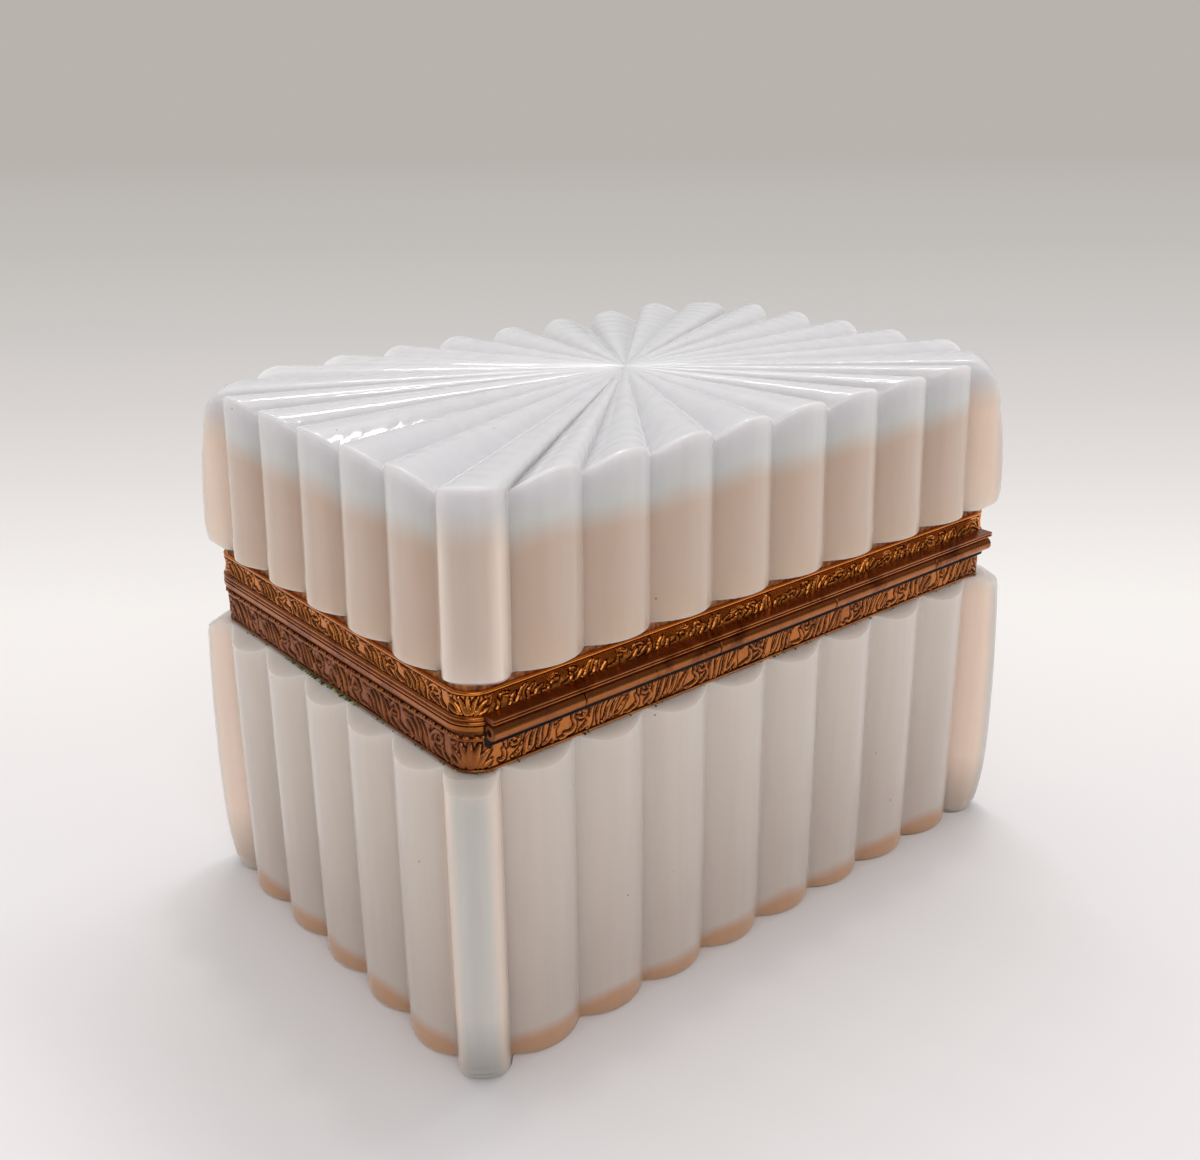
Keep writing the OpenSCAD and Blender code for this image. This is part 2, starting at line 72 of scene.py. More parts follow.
def linear(code):
    """An sRGB hex colour as linear RGB."""
    parts = [int(code[i:i + 2], 16) / 255 for i in (1, 3, 5)]
    return tuple(c / 12.92 if c <= 0.04045 else ((c + 0.055) / 1.055) ** 2.4 for c in parts)


def paint(name, code, description):
    """A colour that a user may change."""
    return FloatVectorProperty(name=name, description=description, default=linear(code),
                               subtype="COLOR", min=0, max=1)


# ---------------------------------------------------------------------------
# Sizes and colours
# ---------------------------------------------------------------------------

class GlassSizes(bpy.types.PropertyGroup):
    """The cut of the two glass bodies"""
    long_ribs: IntProperty(name="Ribs on a long wall", description="Ribs cut on each long wall",
                           default=8, min=2)
    short_ribs: IntProperty(name="Ribs on a short wall", description="Ribs cut on each short wall",
                            default=5, min=2)
    rib_rise: length("Rib rise", 3.68, "How far a rib stands out from its valleys")
    body_x: length("Body valley X", 74.6, "Half length of the body at its valleys")
    body_y: length("Body valley Y", 46.6, "Half width of the body at its valleys")
    body_corner_x: length("Body corner X", 7.8, "Long wall taken by a corner column of the body")
    body_corner_y: length("Body corner Y", 6.0, "Short wall taken by a corner column of the body")
    body_corner_rise: length("Body corner rise", 9.38, "How far a body corner column stands out")
    belly_z: length("Belly", 25.0, "Height at which the body's corner columns are widest")
    belly_top_in: length("Belly top", 1.4, "How far a column draws in from the belly to the mount")
    belly_foot_in: length("Belly foot", 2.6, "How far a column draws in from the belly to its foot")
    rib_swell: length("Rib swell", 0.3, "How much less ribs stand out at the mount and the foot")
    column_square: FloatProperty(name="Column squareness", description="2 is round, 4 is square",
                                 default=2.8, min=2, max=4)
    valley_flat: length("Valley flat", 0.32, "Height of the narrow flat left in each valley")
    lid_x: length("Lid valley X", 72.4, "Half length of the lid at its valleys")
    lid_y: length("Lid valley Y", 46.7, "Half width of the lid at its valleys")
    lid_corner_x: length("Lid corner X", 8.8, "Long wall taken by a corner column of the lid")
    lid_corner_y: length("Lid corner Y", 7.8, "Short wall taken by a corner column of the lid")
    lid_corner_rise: length("Lid corner rise", 9.09, "How far a lid corner column stands out")
    lid_belly_z: length("Lid belly", 87.0, "Height at which the lid's corner columns are widest")
    lid_top_in: length("Lid corner top", 1.1, "How far a lid column draws in towards the top")
    lid_foot_in: length("Lid corner foot", 0.6, "How far a lid column draws in towards the mount")
    petal_rise: length("Petal rise", 3.5, "Rise of a petal of the sunburst between its valleys")
    shoulder: length("Shoulder", 0.7, "Rounding between a petal and its rib")
    dome: length("Corner dome", 12.5, "Height of the dome on top of a corner column")
    corner_petal: length("Corner petal", 3.3, "Rise of a corner petal between its valleys")
    lid_taper: FloatProperty(name="Lid taper", description="Share by which the lid narrows upwards",
                             default=0.012, min=0, max=0.1)
    burst_x: length("Sunburst X", -1.6, "Middle of the sunburst along the long walls")
    burst_y: length("Sunburst Y", 1.4, "Middle of the sunburst along the short walls")
    bevel: length("Bevel", 2.0, "Height of the bevel below the mount")
    bevel_in: length("Bevel depth", 3.0, "How far that bevel reaches into the corner columns")
    lid_bevel: length("Lid bevel", 0.3, "Height of the slight bevel under the lid's ribs")
    lid_corner_bevel: length("Lid corner bevel", 1.8, "Height of the bevel under a lid column")
    rib_clear: length("Plaster gap", 1.5, "How far the lid's ribs end above its band")
    cavity_x: length("Inside X", 68.7, "Half length inside the glass")
    cavity_y: length("Inside Y", 42.3, "Half width inside the glass")
    cavity_r: length("Inside corner", 4.0, "Corner radius inside the glass")
    neck_wall: length("Neck wall", 3.6, "Thickness of the glass necks that the mount holds")
    neck_r: length("Neck corner", 3.8, "Corner radius of the glass necks")
    cove: length("Cove", 6.0, "Radius between the inside walls and the floor or the ceiling")
    foot: length("Foot", 1.0, "Rounding of the ribs at the base")
    corner_foot: length("Corner foot", 1.0, "Extra rounding at the feet of the corner columns")
    stand: length("Stand ring", 8.0, "Width of the flat ring that the box stands on")
    hollow: length("Base hollow", 1.4, "Depth of the hollow under the base")
    body_floor: length("Floor", 9.0, "Thickness of the base")
    lid_roof: length("Roof", 10.5, "Glass between the ridges and the ceiling of the lid")


class MountSizes(bpy.types.PropertyGroup):
    """The chased mount"""
    half_x: length("Mount X", 74.0, "Half length of the mount")
    half_y: length("Mount Y", 47.6, "Half width of the mount")
    corner: length("Mount corner", 5.5, "Corner radius of the mount")
    sheet: length("Band thickness", 0.9, "Thickness of the brass bands")
    border: length("Border", 0.7, "Plain border of the bands")
    field: length("Field depth", 0.25, "Depth of the field that the foliage stands in")
    cove: length("Band hollow", 0.35, "Depth of the hollow curve in the lid's band")
    bead: length("Moulding radius", 0.9, "Radius of the moulding at the foot of the lid's band")
    grain: length("Bead radius", 0.46, "Radius of the small beads on the body's band")
    grain_pitch: length("Bead pitch", 1.6, "Distance between two small beads")
    step: length("Chasing step", 0.21, "Distance between two points of the chased surface")
    plain_step: length("Plain step", 1.0, "Distance between two points of the plain mouldings")
    relief: length("Relief", 0.45, "Height of the chased foliage")
    broken: length("Broken edges", 0.12, "Broken edges of the flanges, the liners and the rim")
    thumb_gap: length("Thumb gap", 7.3, "Half of the gap that the reeds leave at the thumb piece")


class HingeSizes(bpy.types.PropertyGroup):
    """The hinge"""
    half: length("Hinge half", 70.5, "Half length of the hinge")
    clear: length("Hinge clearance", 0.2, "Gap between the hinge and the ends of the mouldings")
    knuckle: length("Knuckle", 1.5, "Outer radius of the knuckles")
    bore: length("Bore", 0.65, "Radius of the knuckles' bores")
    chamfer: length("Knuckle chamfer", 0.18, "Broken edge on each knuckle's ends")
    groove: length("Leaf groove", 0.3, "Depth of the groove along the lid's leaf")
    web: length("Web", 0.8, "Thickness of the webs between the knuckles and their leaves")


class GlassColours(bpy.types.PropertyGroup):
    """Opaline, moulded, cut and polished"""
    top: paint("Top", "#cac8ca", "Milky lilac grey of the sunburst")
    blue: paint("Thick glass", "#c8c8c5", "Cool white where the glass is thick")
    # Peach and warm are painted light: light shining through the lid's lower walls.
    peach: paint("Warm glass", "#c4ae9e", "Beige peach of the lid's walls")
    warm: paint("Lower warm glass", "#c7ab93", "Paler peach low on the lid")
    beige: paint("Wall glass", "#c6bab0", "Grey beige of the body's ribs")
    # Ember is painted light: light from the floor shining up through the body's foot.
    ember: paint("Foot glass", "#b48a6c", "Deep peach at the feet of the ribs")
    dusk: paint("Lower wall glass", "#b9aca3", "Darker grey beige near the body's foot")
    haze: paint("Upper wall glass", "#cfc3ba", "Paler beige under the body's band")
    # Glow is painted light: light shining through the columns' thinner flanks.
    glow: paint("Glowing glass", "#e4cfbf", "Pale peach of the columns' flanks")
    rim: paint("Column crest", "#bcb9b4", "Cool grey of the body columns' thick crests")
    rose: paint("Lid column crest", "#c5b5aa", "Rosy grey of the lid columns' crests")
    seed: paint("Seed", "#5a4838", "Brown of the small specks in the glass")


class BrassColours(bpy.types.PropertyGroup):
    """Gilt brass, die-struck, chased and worn"""
    gilt: paint("Gilding", "#f29640", "Gold on the raised foliage")
    amber: paint("Old gilding", "#94480f", "Orange gold of the worn ground")
    # Also used for the painted shade and dirt along the bands' underside edges.
    dirt: paint("Hollows", "#33130a", "Dirt and tarnish in the hollows")
    rose: paint("Worn brass", "#935634", "Pinkish brown where the gilding has worn off")
    rust: paint("Browned brass", "#8c5030", "Red brown of the hinge")
    umber: paint("Worn ground", "#6e3a1c", "Brown of the worn ground between the leaves")
    green: paint("Verdigris", "#5f7a3a", "Green corrosion under the body's band")
    bloom: paint("Dry verdigris", "#a9b884", "Pale powder on the corrosion")


class EarthColours(bpy.types.PropertyGroup):
    """Plaster bedding, and the grime and painted shade round the hinge"""
    plaster_dark: paint("Plaster, pitted", "#4a2a16", "Brown in the pits of the old plaster")
    plaster_light: paint("Plaster, bare", "#b87848", "Pale brown of the old plaster")
    # The grime colours also paint the shade under the knuckles.
    shade_and_grime_deep: paint("Grime, deep", "#120a06", "Nearly black grime under the knuckles")
    shade_and_grime_dry: paint("Grime, dry", "#2b180d", "Dark brown of the dry grime")


class StageColours(bpy.types.PropertyGroup):
    """Floor and backdrop"""
    floor: paint("Floor", "#e9e5e5", "Pale floor")
    mid: paint("Lit floor", "#f0ece9", "Brightest part of the floor, just behind the box")
    high: paint("Backdrop", "#b8b3ad", "Upper part of the backdrop")


# ---------------------------------------------------------------------------
# Helpers
# ---------------------------------------------------------------------------

def node(tree, kind, inputs=None, stops=None, **settings):
    """Adds a shader node, then sets its settings, its colour stops and its inputs. An input is
    given as a value, a socket, or a node, which stands for its first output."""
    made = tree.nodes.new("ShaderNode" + kind)
    for name, value in settings.items():
        setattr(made, name, value)
    if stops:
        band = made.color_ramp.elements
        while len(band) < len(stops):
            band.new(0.5)
        for mark, (place, colour) in zip(band, stops):
            mark.position = place
            mark.color = (*colour[:3], 1)
    for name, value in (inputs or {}).items():
        if isinstance(value, bpy.types.Node):
            value = value.outputs[0]
        if isinstance(value, bpy.types.NodeSocket):
            tree.links.new(value, made.inputs[name])
        else:
            made.inputs[name].default_value = value
    return made


def blank_material(name):
    """A material with no nodes, and node() bound to its tree."""
    material = bpy.data.materials.new(name)
    material.use_nodes = True
    material.node_tree.nodes.clear()
    return material, partial(node, material.node_tree)


def as_piece(name, bm, body, material, replaced=(), smooth=40):
    """Turns a bmesh into a finished piece that rides on a CAD body."""
    bmesh.ops.remove_doubles(bm, verts=bm.verts, dist=1e-6)
    bmesh.ops.recalc_face_normals(bm, faces=bm.faces)
    mesh = bpy.data.meshes.new(name)
    bm.to_mesh(mesh)
    bm.free()
    mesh.shade_smooth()
    mesh.set_sharp_from_angle(angle=math.radians(smooth))
    made = bpy.data.objects.new(name, mesh)
    bpy.context.scene.collection.objects.link(made)
    mesh.materials.append(material)
    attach(made, body)
    if replaced:
        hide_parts(*replaced)
    return made


def dress(name, material, bevel=0.0):
    """Gives a CAD node its material and, with a bevel, broken edges."""
    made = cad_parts[name]
    made.data.materials.clear()
    made.data.materials.append(material)
    if bevel:
        broken = made.modifiers.new("Broken edges", "BEVEL")
        broken.width = bevel
        broken.segments = 2
        broken.limit_method = "ANGLE"
        broken.angle_limit = math.radians(50)


def loft(bm, rings, first=None, last=None, closed=False):
    """Pulls a closed ring of edges through a stack of rings of points with equal counts. Its
    ends run together at the points first and last, or closed joins the last ring to the first."""
    mark = bm.verts.layers.int.get("mark") or bm.verts.layers.int.new("mark")
    start = bmesh.ops.create_circle(bm, cap_ends=False, segments=len(rings[0]), radius=1)["verts"]
    for i, vert in enumerate(start):
        vert[mark] = i
        vert.co = rings[0][i]
    edges = list({edge for vert in start for edge in vert.link_edges})
    opening, bottom = edges, start
    for ring in rings[1:]:
        pulled = bmesh.ops.extrude_edge_only(bm, edges=edges)["geom"]
        edges = [e for e in pulled if isinstance(e, bmesh.types.BMEdge)]
        top = [v for v in pulled if isinstance(v, bmesh.types.BMVert)]
        for vert in top:
            vert.co = ring[vert[mark]]
    if closed:
        bmesh.ops.bridge_loops(bm, edges=opening + edges)
        return
    for loop, verts, point in ((opening, bottom, first), (edges, top, last)):
        if point is not None:
            tip = bmesh.ops.extrude_edge_only(bm, edges=loop)["geom"]
            tip = [v for v in tip if isinstance(v, bmesh.types.BMVert)]
            bmesh.ops.pointmerge(bm, verts=tip, merge_co=point)


# ---------------------------------------------------------------------------
# Cut glass
# ---------------------------------------------------------------------------

RIB_STEPS = 20
CORNER_STEPS = 40
COVE_STEPS = 8
FOOT_STEPS = 6
# Heights of the rings that carry the body's wall, in millimetres.
WALL_HEIGHTS = (3, 5, 8, 12, 17, 22, 28, 35, 42, 49, 55)
# The rings of a ray, as shares of its length from the sunburst's middle, and of its shoulder.
RAY_SHARES = (0.02, 0.06, 0.15, 0.3, 0.45, 0.6, 0.75, 0.88, 0.96)
SHOULDER_SHARES = (0, 0.05, 0.12, 0.2, 0.3, 0.42, 0.54, 0.66, 0.78, 0.9, 1)
# The bevel beside the mount, from the ribs' faces inwards: the share of the way out, and how
# much further its softened edge turns away.
BEVEL_RINGS = ((1, 0.15), (0.99, 0.03), (0.95, 0), (0.5, 0), (0, 0))


class Cut:
    """One point of the reeded plan: where it lies and how far up its rib or column it is."""

    def __init__(self, glass, a, b, rise, share, column, wall):
        along = (b - a) / 2
        out = Vector((along.y, -along.x)).normalized()
        self.share, self.column, self.wall = share, column, wall
        if column:
            # Half of a rounded square.
            turn = math.pi * share
            power = 2 / glass.column_square
            self.lift = math.sin(turn) ** power
            self.foot = (a + b) / 2 - along * math.copysign(abs(math.cos(turn)) ** power,
                                                            math.cos(turn))
            self.place = self.foot + out * rise * self.lift
            self.foot += out * (rise - glass.bevel_in) * self.lift
        else:
            # An arc that ends in narrow flats.
            half = along.length
            radius = (half * half + rise * rise) / (2 * rise)
            turn = math.asin(half / radius) * (2 * share - 1)
            height = max(glass.valley_flat, radius * math.cos(turn) + rise - radius)
            self.lift = height / rise
            self.foot = a + (b - a) * share
            self.place = (a + b) / 2 + out * height + along / half * radius * math.sin(turn)


def reeded_plan(glass, half_x, half_y, corner_x, corner_y, corner_rise, rib_rise):
    """The reeded outline, counter-clockwise from the start of the +X wall."""
    side_x, side_y = half_x - corner_x, half_y - corner_y
    ends = []
    for wall, (run, count, out) in enumerate(
            ((side_y, glass.short_ribs, half_x), (side_x, glass.long_ribs, half_y)) * 2):
        swing = Matrix.Rotation(math.pi / 2 * wall, 2)
        for i in range(count + 1):
            ends.append((wall, i == count, swing @ Vector((out, -run + 2 * run * i / count))))
    plan = []
    for (wall, column, place), (_, _, beyond) in zip(ends, ends[1:] + ends[:1]):
        steps, rise = (CORNER_STEPS, corner_rise) if column else (RIB_STEPS, rib_rise)
        plan += [Cut(glass, place, beyond, rise, k / steps, column, wall) for k in range(steps)]
    return plan


def body_plan(glass, z, seat):
    """The body's outline at a height: its ribs and columns draw in above and below the belly."""
    above = z > glass.belly_z
    drawn = ((z - glass.belly_z) / (seat - glass.belly_z)) ** 2 if above else (
        1 - z / glass.belly_z) ** 3
    corner_in = (glass.belly_top_in if above else glass.belly_foot_in) * drawn
    return reeded_plan(glass, glass.body_x, glass.body_y, glass.body_corner_x,
                       glass.body_corner_y, glass.body_corner_rise - corner_in,
                       glass.rib_rise - glass.rib_swell * drawn)


def lid_plan(glass, corner_in):
    """The lid's outline, with its corner columns drawn in."""
    return reeded_plan(glass, glass.lid_x, glass.lid_y, glass.lid_corner_x, glass.lid_corner_y,
                       glass.lid_corner_rise - corner_in, glass.rib_rise)


def plain_ring(plan, half_x, half_y, radius, z):
    """A rounded rectangle with one point for each point of the plan."""
    ring = []
    for cut in plan:
        across, along = (half_x, half_y) if cut.wall % 2 == 0 else (half_y, half_x)
        swing = Matrix.Rotation(math.pi / 2 * cut.wall, 2)
        if cut.column:
            turn = math.pi / 2 * cut.share * CORNER_STEPS / (CORNER_STEPS - 1)
            point = Vector((across - radius + radius * math.cos(turn),
                            along - radius + radius * math.sin(turn)))
        else:
            foot = swing.inverted() @ cut.foot
            point = Vector((across, min(along - radius, max(radius - along, foot.y))))
        ring.append(Vector((*(swing @ point), z)))
    return ring


def inside_rings(plan, glass, rim, end):
    """The polished hollow, from the rim to the edge of its floor or ceiling."""
    way = 1 if end > rim else -1
    rings = [plain_ring(plan, glass.cavity_x, glass.cavity_y, glass.cavity_r, rim)]
    for i in range(COVE_STEPS + 1):
        turn = math.pi / 2 * i / COVE_STEPS
        inset = glass.cove * (1 - math.cos(turn))
        rings.append(plain_ring(plan, glass.cavity_x - inset, glass.cavity_y - inset,
                                glass.cavity_r, end - way * glass.cove * (1 - math.sin(turn))))
    return rings


def neck_rings(plan, glass, seat, rim, bevel, corner_bevel):
    """The bevel beside the mount, its soft edges, and the neck that the mount holds."""
    neck = (glass.cavity_x + glass.neck_wall, glass.cavity_y + glass.neck_wall, glass.neck_r)
    rings = []
    for share, sink in BEVEL_RINGS:
        rings.append([Vector((*cut.foot.lerp(cut.place, share),
                              seat + (corner_bevel if cut.column else bevel)
                              * cut.lift * (share + sink))) for cut in plan])
    return rings + [plain_ring(plan, *neck, seat), plain_ring(plan, *neck, rim)]


def tinted_loft(plans, rings, first, last):
    """Lofts the glass, and stores each point's lift and whether it is on a corner column."""
    bm = bmesh.new()
    lift = bm.verts.layers.float.new("lift")
    column = bm.verts.layers.float.new("column")
    loft(bm, rings, first, last)
    mark = bm.verts.layers.int["mark"]
    for vert in bm.verts:
        cut = plans[vert[mark]]
        vert[lift], vert[column] = cut.lift, float(cut.column)
    return bm


def body_glass(glass):
    """The body: hollow base, rounded foot, reeded wall, bevel, neck and cavity."""
    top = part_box("body_glass")[1].z
    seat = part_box("body_band")[0].z
    foot_plan, top_plan = body_plan(glass, 0, seat), body_plan(glass, seat, seat)
    stand = (glass.body_x - glass.stand, glass.body_y - glass.stand, glass.cavity_r)
    rings = []
    for share in (0.25, 0.5, 0.75, 1):
        rings.append([Vector((p.x * share, p.y * share, glass.hollow * (1 - share ** 3)))
                      for p in plain_ring(foot_plan, *stand, 0)])
    for i in range(FOOT_STEPS + 1):
        turn = math.pi / 2 * i / FOOT_STEPS
        ring = []
        for cut in foot_plan:
            radius = glass.foot + (glass.corner_foot * cut.lift if cut.column else 0)
            place = cut.place - cut.place.normalized() * radius * (1 - math.sin(turn))
            ring.append(Vector((*place, radius * (1 - math.cos(turn)))))
        rings.append(ring)
    last = seat - glass.bevel - 1.5 * MM
    for z in (*(height * MM for height in WALL_HEIGHTS), last):
        rings.append([Vector((*cut.place, z)) for cut in body_plan(glass, z, seat)])
    rings += neck_rings(top_plan, glass, seat, top, -glass.bevel, -glass.bevel)
    rings += inside_rings(top_plan, glass, top, glass.body_floor)
    return tinted_loft(top_plan, rings, Vector((0, 0, glass.hollow)),
                       Vector((0, 0, glass.body_floor)))


def lid_shoulder(glass, share, burst, valley):
    """The lid's outline near its top: the ribs' roundings, and the domes on the columns, which
    start on the straight line between each column's valleys. The column at +X, +Y has been
    ground flat again, with a crisp edge."""
    turn = math.pi / 2 * (1 - share)
    reach = glass.lid_corner_rise - glass.lid_top_in
    ring = []
    upright = lid_plan(glass, glass.lid_top_in)
    for k, cut in enumerate(lid_plan(glass, glass.lid_top_in + reach * (1 - math.cos(turn)))):
        place = cut.place * (1 - glass.lid_taper)
        if cut.column:
            if cut.wall == 0:
                place = upright[k].place * (1 - glass.lid_taper)
                place += (burst - place).normalized() * glass.shoulder * (1 - math.cos(turn))
            rise = glass.corner_petal * cut.lift
            dome = glass.shoulder if cut.wall == 0 else glass.dome
            fall = glass.shoulder + (dome - glass.shoulder) * cut.lift ** 3
        else:
            place += (burst - place).normalized() * glass.shoulder * (1 - math.cos(turn))
            rise, fall = glass.petal_rise * cut.lift, glass.shoulder
        ring.append(Vector((*place, valley + rise - fall * (1 - math.sin(turn)))))
    return ring


def lid_glass(glass):
    """The lid: sunburst, shoulders, reeded wall, bevel, neck and cavity."""
    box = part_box("lid_glass")
    rim, ridge = box[0].z, box[1].z
    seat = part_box("lid_band")[1].z + glass.rib_clear
    valley = ridge - glass.petal_rise
    ceiling = ridge - glass.lid_roof
    burst = Vector((glass.burst_x, glass.burst_y))
    tip = Vector((*burst, ridge))
    plan = lid_plan(glass, glass.lid_foot_in)
    shoulders = [lid_shoulder(glass, share, burst, valley) for share in SHOULDER_SHARES]
    rings = [[tip.lerp(p, share) for p in shoulders[0]] for share in RAY_SHARES]
    rings += shoulders
    steps = 4
    for i in range(1, steps + 1):
        ring = []
        drawn = glass.lid_top_in * (1 - i / steps) ** 2
        for cut, p in zip(lid_plan(glass, drawn), shoulders[-1]):
            z = p.z + (glass.lid_belly_z - p.z) * i / steps
            lean = 1 - glass.lid_taper * (z - seat) / (valley - seat)
            ring.append(Vector((*(cut.place * lean), z)))
        rings.append(ring)
    low = seat + glass.lid_corner_bevel + 0.4 * MM
    middle = (low + glass.lid_belly_z) / 2
    for z, share in ((middle, 0.3), (low, 0.85)):
        rings.append([Vector((*cut.place, z))
                      for cut in lid_plan(glass, glass.lid_foot_in * share)])
    rings += neck_rings(plan, glass, seat, rim, glass.lid_bevel, glass.lid_corner_bevel)
    rings += inside_rings(plan, glass, rim, ceiling)
    return tinted_loft(plan, rings, tip, Vector((0, 0, ceiling)))


# Opaline: lead glass clouded with bone ash, pressed, then wheel-cut and polished. It scatters
# blue light back and lets red light through, so thick crests look cool and the thinner flanks
# warm, under a clear wet gloss that the cutter's wheel left slightly rippled. That warm light is
# painted into the colour: peach bands by height and warm flanks on the columns. The ripples run
# round the sunburst's middle and are drawn coarser than the real ones, so that they show.
def opaline(name, glass, colours, bands, flank_glow, rim):
    """bands lists (height, colour) from low to high; flank and rim tint the columns."""
    material, add = blank_material(name)
    place = add("TexCoord").outputs["Object"]
    height = add("SeparateXYZ", {0: place}).outputs["Z"]
    lift = add("Attribute", attribute_name="lift").outputs["Fac"]
    column = add("Attribute", attribute_name="column").outputs["Fac"]

    # The tint follows the height, reaches a little higher on the crests and wanders with the
    # clouds. Its peach bands are painted light that shines through the glass.
    cloud = add("TexNoise", {"Vector": place, "Scale": grain(16.67), "Detail": 2.0,
                             "Roughness": 0.5})
    raised = add("Math", {0: lift, 1: -2.2 * MM, 2: height}, operation="MULTIPLY_ADD")
    drift = add("Math", {0: cloud, 1: 5 * MM, 2: raised}, operation="MULTIPLY_ADD")
    low, high = bands[0][0], bands[-1][0]
    level = add("MapRange", {"Value": drift, "From Min": low + 1 * MM, "From Max": high + 1 * MM})
    tint = add("ValToRGB", {"Fac": level},
               stops=[((z - low) / (high - low), colour) for z, colour in bands])

    # Painted light: the walls are a little paler along the sharp valleys between the ribs, which
    # lifts the valleys' shade and stands in for the bright lines along their edges.
    depth = add("Math", {0: 1.0, 1: lift}, operation="SUBTRACT")
    arris = add("Math", {0: depth, 1: 5.0}, operation="POWER")
    painted_valley_light = add("Math", {0: arris, 1: 0.22, 2: 1.0}, operation="MULTIPLY_ADD")
    walls = add("VectorMath", {0: tint, "Scale": painted_valley_light}, operation="SCALE")

    # The corner columns have a cool crest between flanks painted with the light that shines
    # through them, and painted shade darkens them towards the foot.
    crest = add("MapRange", {"Value": lift, "From Min": 0.72, "From Max": 0.96})
    bare = add("Mix", {"Factor": crest, 6: (*flank_glow, 1), 7: (*rim, 1)},
               data_type="RGBA").outputs[2]
    shade = add("MapRange", {"Value": height, "From Min": 4 * MM, "From Max": 16 * MM,
                             "To Min": 0.62, "To Max": 1.0})
    posts = add("VectorMath", {0: bare, "Scale": shade}, operation="SCALE")
    below_top = add("MapRange", {"Value": height, "From Min": high - 12 * MM,
                                 "From Max": high - 4 * MM, "To Min": 1.0, "To Max": 0.0})
    post_share = add("Math", {0: column, 1: below_top}, operation="MULTIPLY")
    mixed = add("Mix", {"Factor": post_share, 6: walls, 7: posts}, data_type="RGBA").outputs[2]

    # Upright streaks of the melt, and a few brown seeds.
    upright = add("VectorMath", {0: place, 1: (1.0, 1.0, 0.06)}, operation="MULTIPLY")
    streak = add("TexNoise", {"Vector": upright, "Scale": grain(3.03), "Detail": 3.0,
                              "Roughness": 0.6})
    streaks = add("MapRange", {"Value": streak, "From Min": 0.3, "From Max": 0.7,
                               "To Min": 0.97, "To Max": 1.025})
    toned = add("VectorMath", {0: mixed, "Scale": streaks}, operation="SCALE")
    seeds = add("TexVoronoi", {"Vector": place, "Scale": grain(8.333)})
    speck = add("MapRange", {"Value": seeds, "From Min": 0.018, "From Max": 0.03,
                             "To Min": 0.7, "To Max": 0.0})
    specked = add("Mix", {"Factor": speck, 6: toned, 7: (*colours.seed, 1)},
                  data_type="RGBA").outputs[2]

    # The wheel's waves and its finer chatter, on the top only, over a faint unevenness.
    centre = add("VectorMath", {0: place, 1: (glass.burst_x, glass.burst_y, 0.0)},
                 operation="SUBTRACT")
    reach = add("VectorMath", {0: centre}, operation="LENGTH").outputs["Value"]
    jitter = add("TexNoise", {"Vector": place, "Scale": grain(11.11), "Detail": 1.0,
                              "Roughness": 0.5})
    turns = add("Math", {0: reach, 1: math.tau / (2.3 * MM)}, operation="MULTIPLY")
    wander = add("Math", {0: jitter, 1: 9.0, 2: turns}, operation="MULTIPLY_ADD")
    wave = add("Math", {0: wander}, operation="SINE")
    fine_turns = add("Math", {0: reach, 1: math.tau / (0.7 * MM)}, operation="MULTIPLY")
    chatter = add("Math", {0: fine_turns}, operation="SINE")
    waves = add("Math", {0: chatter, 1: 0.16, 2: wave}, operation="MULTIPLY_ADD")
    on_top = add("MapRange", {"Value": height, "From Min": 110 * MM, "From Max": 112 * MM})
    marks = add("Math", {0: waves, 1: on_top}, operation="MULTIPLY")
    uneven = add("TexNoise", {"Vector": place, "Scale": grain(5), "Detail": 1.0,
                              "Roughness": 0.4})
    relief = add("Math", {0: uneven, 1: 0.6, 2: marks}, operation="MULTIPLY_ADD")
    bump = add("Bump", {"Height": relief, "Strength": 1.0, "Distance": 0.015 * MM})

    shader = add("BsdfPrincipled",
                 {"Base Color": specked, "Roughness": 0.3, "IOR": 1.53,
                  "Specular IOR Level": 0.0, "Coat Weight": 1.0, "Coat IOR": 1.53,
                  "Coat Roughness": 0.085, "Coat Normal": bump, "Subsurface Weight": 1.0,
                  "Subsurface Radius": (1.0, 0.9, 0.82), "Subsurface Scale": 8 * MM})
    add("OutputMaterial", {"Surface": shader})
    return material


# ---------------------------------------------------------------------------
# Mount
# ---------------------------------------------------------------------------

class Station:
    """One place on the mount's outline, seen from above."""

    def __init__(self, place, out, wall, run, corner):
        self.place, self.out, self.wall, self.run, self.corner = place, out, wall, run, corner


def mount_path(mount, step, corner_steps):
    """The mount's outline, counter-clockwise from the start of the +X side."""
    path = []
    for wall in range(4):
        swing = Matrix.Rotation(math.pi / 2 * wall, 2)
        across, along = ((mount.half_x, mount.half_y), (mount.half_y, mount.half_x))[wall % 2]
        straight = along - mount.corner
        count = max(1, round(2 * straight / step))
        for i in range(count):
            run = i / count
            path.append(Station(swing @ Vector((across, -straight + 2 * straight * run)),
                                swing @ Vector((1, 0)), wall, run, False))
        centre = Vector((across - mount.corner, straight))
        for i in range(corner_steps):
            turn = math.pi / 2 * i / corner_steps
            out = Vector((math.cos(turn), math.sin(turn)))
            path.append(Station(swing @ (centre + out * mount.corner), swing @ out, wall,
                                i / corner_steps, True))
    return path


def band_ring(path, out, z):
    """One ring of points round the mount, so far out and at this height."""
    return [Vector((*(s.place + s.out * out), z)) for s in path]


def runs(path, keep):
    """The unbroken runs of stations that keep() accepts, round the closed path."""
    flags = [keep(s) for s in path]
    if all(flags):
        return [path + path[:1]]
    start = next(i for i in range(len(path)) if flags[i] and not flags[i - 1])
    found, run = [], []
    for i in range(len(path) + 1):
        k = (start + i) % len(path)
        if flags[k] and i < len(path):
            run.append(path[k])
        elif run:
            found.append(run)
            run = []
    return found


